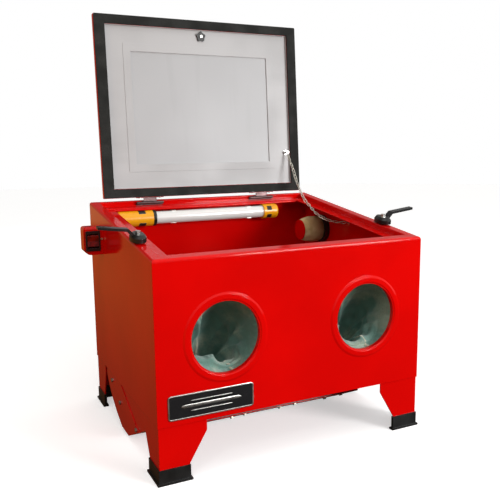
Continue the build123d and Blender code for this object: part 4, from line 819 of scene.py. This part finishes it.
@dataclass
class MakersPlate:
    """Bare metal rim and three plain bars on the front plate."""

    rim: float = 2.6 * MM
    proud: float = 0.5 * MM

    def loop(self, inset: float, corner: float, y: float) -> np.ndarray:
        """Points round a rounded rectangle set in from the plate's edge, at one depth."""
        low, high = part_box("name_plate")
        x0, x1, z0, z1 = low[0] + inset, high[0] - inset, low[2] + inset, high[2] - inset
        turn = np.linspace(0, np.pi / 2, 9)
        corners = ((x1 - corner, z1 - corner, 0), (x0 + corner, z1 - corner, 1),
                   (x0 + corner, z0 + corner, 2), (x1 - corner, z0 + corner, 3))
        arcs = [np.stack([cx + corner * np.cos(turn + k * np.pi / 2), np.full(9, y),
                          cz + corner * np.sin(turn + k * np.pi / 2)], axis=1) for cx, cz, k in corners]
        return np.concatenate(arcs)

    def build(self, steel: bpy.types.Material) -> None:
        """Rim: a low rounded band. Bars: a long lozenge with rounded faces between two thin ones."""
        low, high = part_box("name_plate")
        face = low[1]
        r = 6.0 * MM
        skin = Skin()
        rows = [self.loop(0.0, r, face + 0.4 * MM), self.loop(0.0, r, face - self.proud * 0.6),
                self.loop(0.5 * MM, r - 0.5 * MM, face - self.proud),
                self.loop(self.rim - 0.5 * MM, r - self.rim + 0.5 * MM, face - self.proud),
                self.loop(self.rim, r - self.rim, face - self.proud * 0.4),
                self.loop(self.rim, r - self.rim, face + 0.4 * MM)]
        skin.grid(np.stack(rows), ring=True)
        dress_piece(skin.build("name_plate_rim", steel, 0.5), "cabinet", "zinc_steel")
        bars = Skin()
        middle_z = (low[2] + high[2]) / 2
        for rise, half, tall in ((0.0, 60.0, 3.2), (9.5, 42.0, 0.8), (-9.5, 42.0, 0.8)):
            t = np.linspace(-1, 1, 60)[:, None]
            high_part = tall * MM * np.clip((1 - np.abs(t)) * 8, 0, 1) ** 0.5
            angle = np.linspace(0, np.pi, 9)[None, :]
            x = (low[0] + high[0]) / 2 + t * half * MM + 0 * angle
            y = face - self.proud * 1.2 * np.sin(angle) * (high_part / (tall * MM))
            z = middle_z + rise * MM - high_part * np.cos(angle)
            bars.grid(np.stack([x, y + 0 * t, z], axis=-1), around=True, capped=True)
        dress_piece(bars.build("name_plate_bars", steel, 0.9), "cabinet", "zinc_steel")


# ---- studio ------------------------------------------------------------------------------------------
@dataclass
class Studio:
    """Pale floor, soft lights, sky and the camera.

    The floor and the sky look white to the camera. What they give to light and reflections is dark, and warm
    to the left.
    """

    eye: Place = (-0.615082, FRONT_Y - 1.058079, BASE_Z + 0.49757)
    turn: float = -0.449
    tip: float = 0.159
    roll: float = -0.011
    lens: float = 46.849

    def camera(self) -> None:
        """A level look turned to the right, tipped down and rolled slightly."""
        az, e, r = self.turn, self.tip, self.roll
        ahead = Vector((-np.sin(az) * np.cos(e), np.cos(az) * np.cos(e), -np.sin(e)))
        right = Vector((np.cos(az), np.sin(az), 0.0))
        up = right.cross(ahead)
        x, y = np.cos(r) * right + np.sin(r) * up, -np.sin(r) * right + np.cos(r) * up
        made = bpy.data.objects.new("camera", bpy.data.cameras.new("camera"))
        made.data.lens, made.data.sensor_width = self.lens, 36.0
        made.matrix_world = Matrix.Translation(self.eye) @ Matrix((x, y, -ahead)).transposed().to_4x4()
        bpy.context.scene.collection.objects.link(made)
        bpy.context.scene.camera = made

    def lamp(self, name: str, place: Place, aim: Place, size: tuple[float, float], watts: float,
             colour: Colour = (1.0, 1.0, 1.0)) -> None:
        """One rectangular soft light."""
        data = bpy.data.lights.new(name, "AREA")
        data.shape, data.size, data.size_y, data.energy, data.color = "RECTANGLE", *size, watts, colour
        made = bpy.data.objects.new(name, data)
        made.location = place
        made.rotation_euler = (Vector(aim) - Vector(place)).to_track_quat("-Z", "Y").to_euler()
        bpy.context.scene.collection.objects.link(made)

    def sky(self) -> None:
        """White to the camera; to light and reflections bright above and to the right, dim elsewhere."""
        world = bpy.data.worlds.new("studio")
        bpy.context.scene.world = world
        world.use_nodes = True
        tree = world.node_tree
        tree.nodes.clear()
        new, link = tree.nodes.new, tree.links.new
        out, path = new("ShaderNodeOutputWorld"), new("ShaderNodeLightPath")
        white, dim = new("ShaderNodeBackground"), new("ShaderNodeBackground")
        both = new("ShaderNodeMixShader")
        where, dot, level = new("ShaderNodeTexCoord"), new("ShaderNodeVectorMath"), new("ShaderNodeMapRange")
        dot.operation = "DOT_PRODUCT"
        dot.inputs[1].default_value = (0.50, -0.35, 0.79)
        link(where.outputs["Generated"], dot.inputs[0])
        link(dot.outputs["Value"], level.inputs["Value"])
        level.interpolation_type = "SMOOTHSTEP"
        for key, value in {"From Min": -0.1, "From Max": 0.95, "To Min": 0.06, "To Max": 0.95}.items():
            level.inputs[key].default_value = value
        link(level.outputs[0], dim.inputs["Strength"])
        link(path.outputs["Is Camera Ray"], both.inputs[0])
        link(dim.outputs[0], both.inputs[1])
        link(white.outputs[0], both.inputs[2])
        white.inputs["Color"].default_value = (1.0, 1.0, 1.0, 1.0)
        dim.inputs["Color"].default_value = (1.0, 0.985, 0.965, 1.0)
        link(both.outputs[0], out.inputs[0])

    def floor(self) -> None:
        """A round floor far wider than the view: pale to the camera, dark or warm in reflections."""
        rows = np.linspace(0.0, 9.0, 10)[:, None]
        angle = np.linspace(0, TURN, 48, endpoint=False)[None, :]
        net = np.stack([rows * np.cos(angle), rows * np.sin(angle), 0 * rows * angle], axis=-1)
        paint = Paint("studio_floor")
        cloud = paint.noise(1.5, 2.0)
        pale = paint.mix(cloud, (0.82, 0.82, 0.82), (0.80, 0.80, 0.80))
        paint.surface({"Base Color": pale, "Roughness": 0.7, "Specular IOR Level": 0.1,
                       "Emission Color": (1.0, 1.0, 1.0), "Emission Strength": 0.5})
        west = paint.node("ShaderNodeSeparateXYZ", values={0: paint.place()}, output="X") * -1.0
        warm = paint.mix(paint.step(west, 0.1, 0.75), (0.03, 0.024, 0.02), (0.42, 0.17, 0.04))
        dull = paint.node("ShaderNodeEmission", values={"Color": warm})
        seen = paint.node("ShaderNodeLightPath", output="Is Camera Ray")
        lit = Wire(paint, paint.shader.outputs[0])
        both = paint.node("ShaderNodeMixShader", values={0: seen, 1: dull, 2: lit})
        end = next(node for node in paint.tree.nodes if node.type == "OUTPUT_MATERIAL")
        paint.feed(end.inputs["Surface"], both)
        skin = Skin()
        skin.grid(net)
        piece = skin.build("floor", paint.material)
        if piece.data.polygons[0].normal.z < 0:
            piece.data.flip_normals()

    def build(self) -> None:
        """Camera, floor, sky and the soft lights."""
        self.camera()
        self.floor()
        self.sky()
        self.lamp("key", (1.7, -2.9, 0.95), (0.0, 0.0, 0.35), (1.1, 1.0), 98.0)
        self.lamp("top", (-0.5, -0.6, 2.4), (0.0, 0.0, 0.4), (1.4, 1.0), 6.0)
        self.lamp("left", (-2.2, -0.7, 1.0), (-0.2, 0.0, 0.4), (0.5, 1.4), 7.0, (1.0, 0.85, 0.68))
        self.lamp("glow", (-2.1, 2.3, 1.05), (-0.3, 0.0, 0.6), (5.5, 2.0), 10.0, (1.0, 0.62, 0.30))
        self.lamp("spark", (-1.3, -1.5, 1.7), (-0.05, -0.1, 0.45), (0.25, 0.25), 3.0)
        bpy.context.scene.view_settings.view_transform = "Standard"


def dress_frame(nodes: dict[str, bpy.types.Object], finishes: dict[Finish, bpy.types.Material]) -> None:
    """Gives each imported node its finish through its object's own material slots."""
    for finish, names in DRESS.items():
        for name in names.split():
            piece = nodes[name]
            if not piece.material_slots:
                piece.data.materials.append(None)
            for holder in piece.material_slots:
                holder.material = finishes[finish]
            LOG.info("%s wears %s", name, finish.name)


def main() -> None:
    """Loads the frame, dresses it, and builds the soft and fine pieces and the studio."""
    logging.basicConfig(level=logging.INFO, format="%(name)s: %(message)s")
    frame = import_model()
    everything = [*DRESS, CHAIN, PAPER, CLOTH, SEAM]
    finishes = {finish: finish.material() for finish in everything}
    dress_frame(frame["nodes"], finishes)
    for side in Side:
        ArmGlove(side).build(finishes[CLOTH], finishes[SEAM])
    ExhaustFilter().build(finishes[PAPER])
    WorkLamp().build(finishes[BLACK])
    LidChain().build(finishes[CHAIN])
    MakersPlate().build(finishes[ZINC])
    Studio().build()


if __name__ == "__main__":
    main()
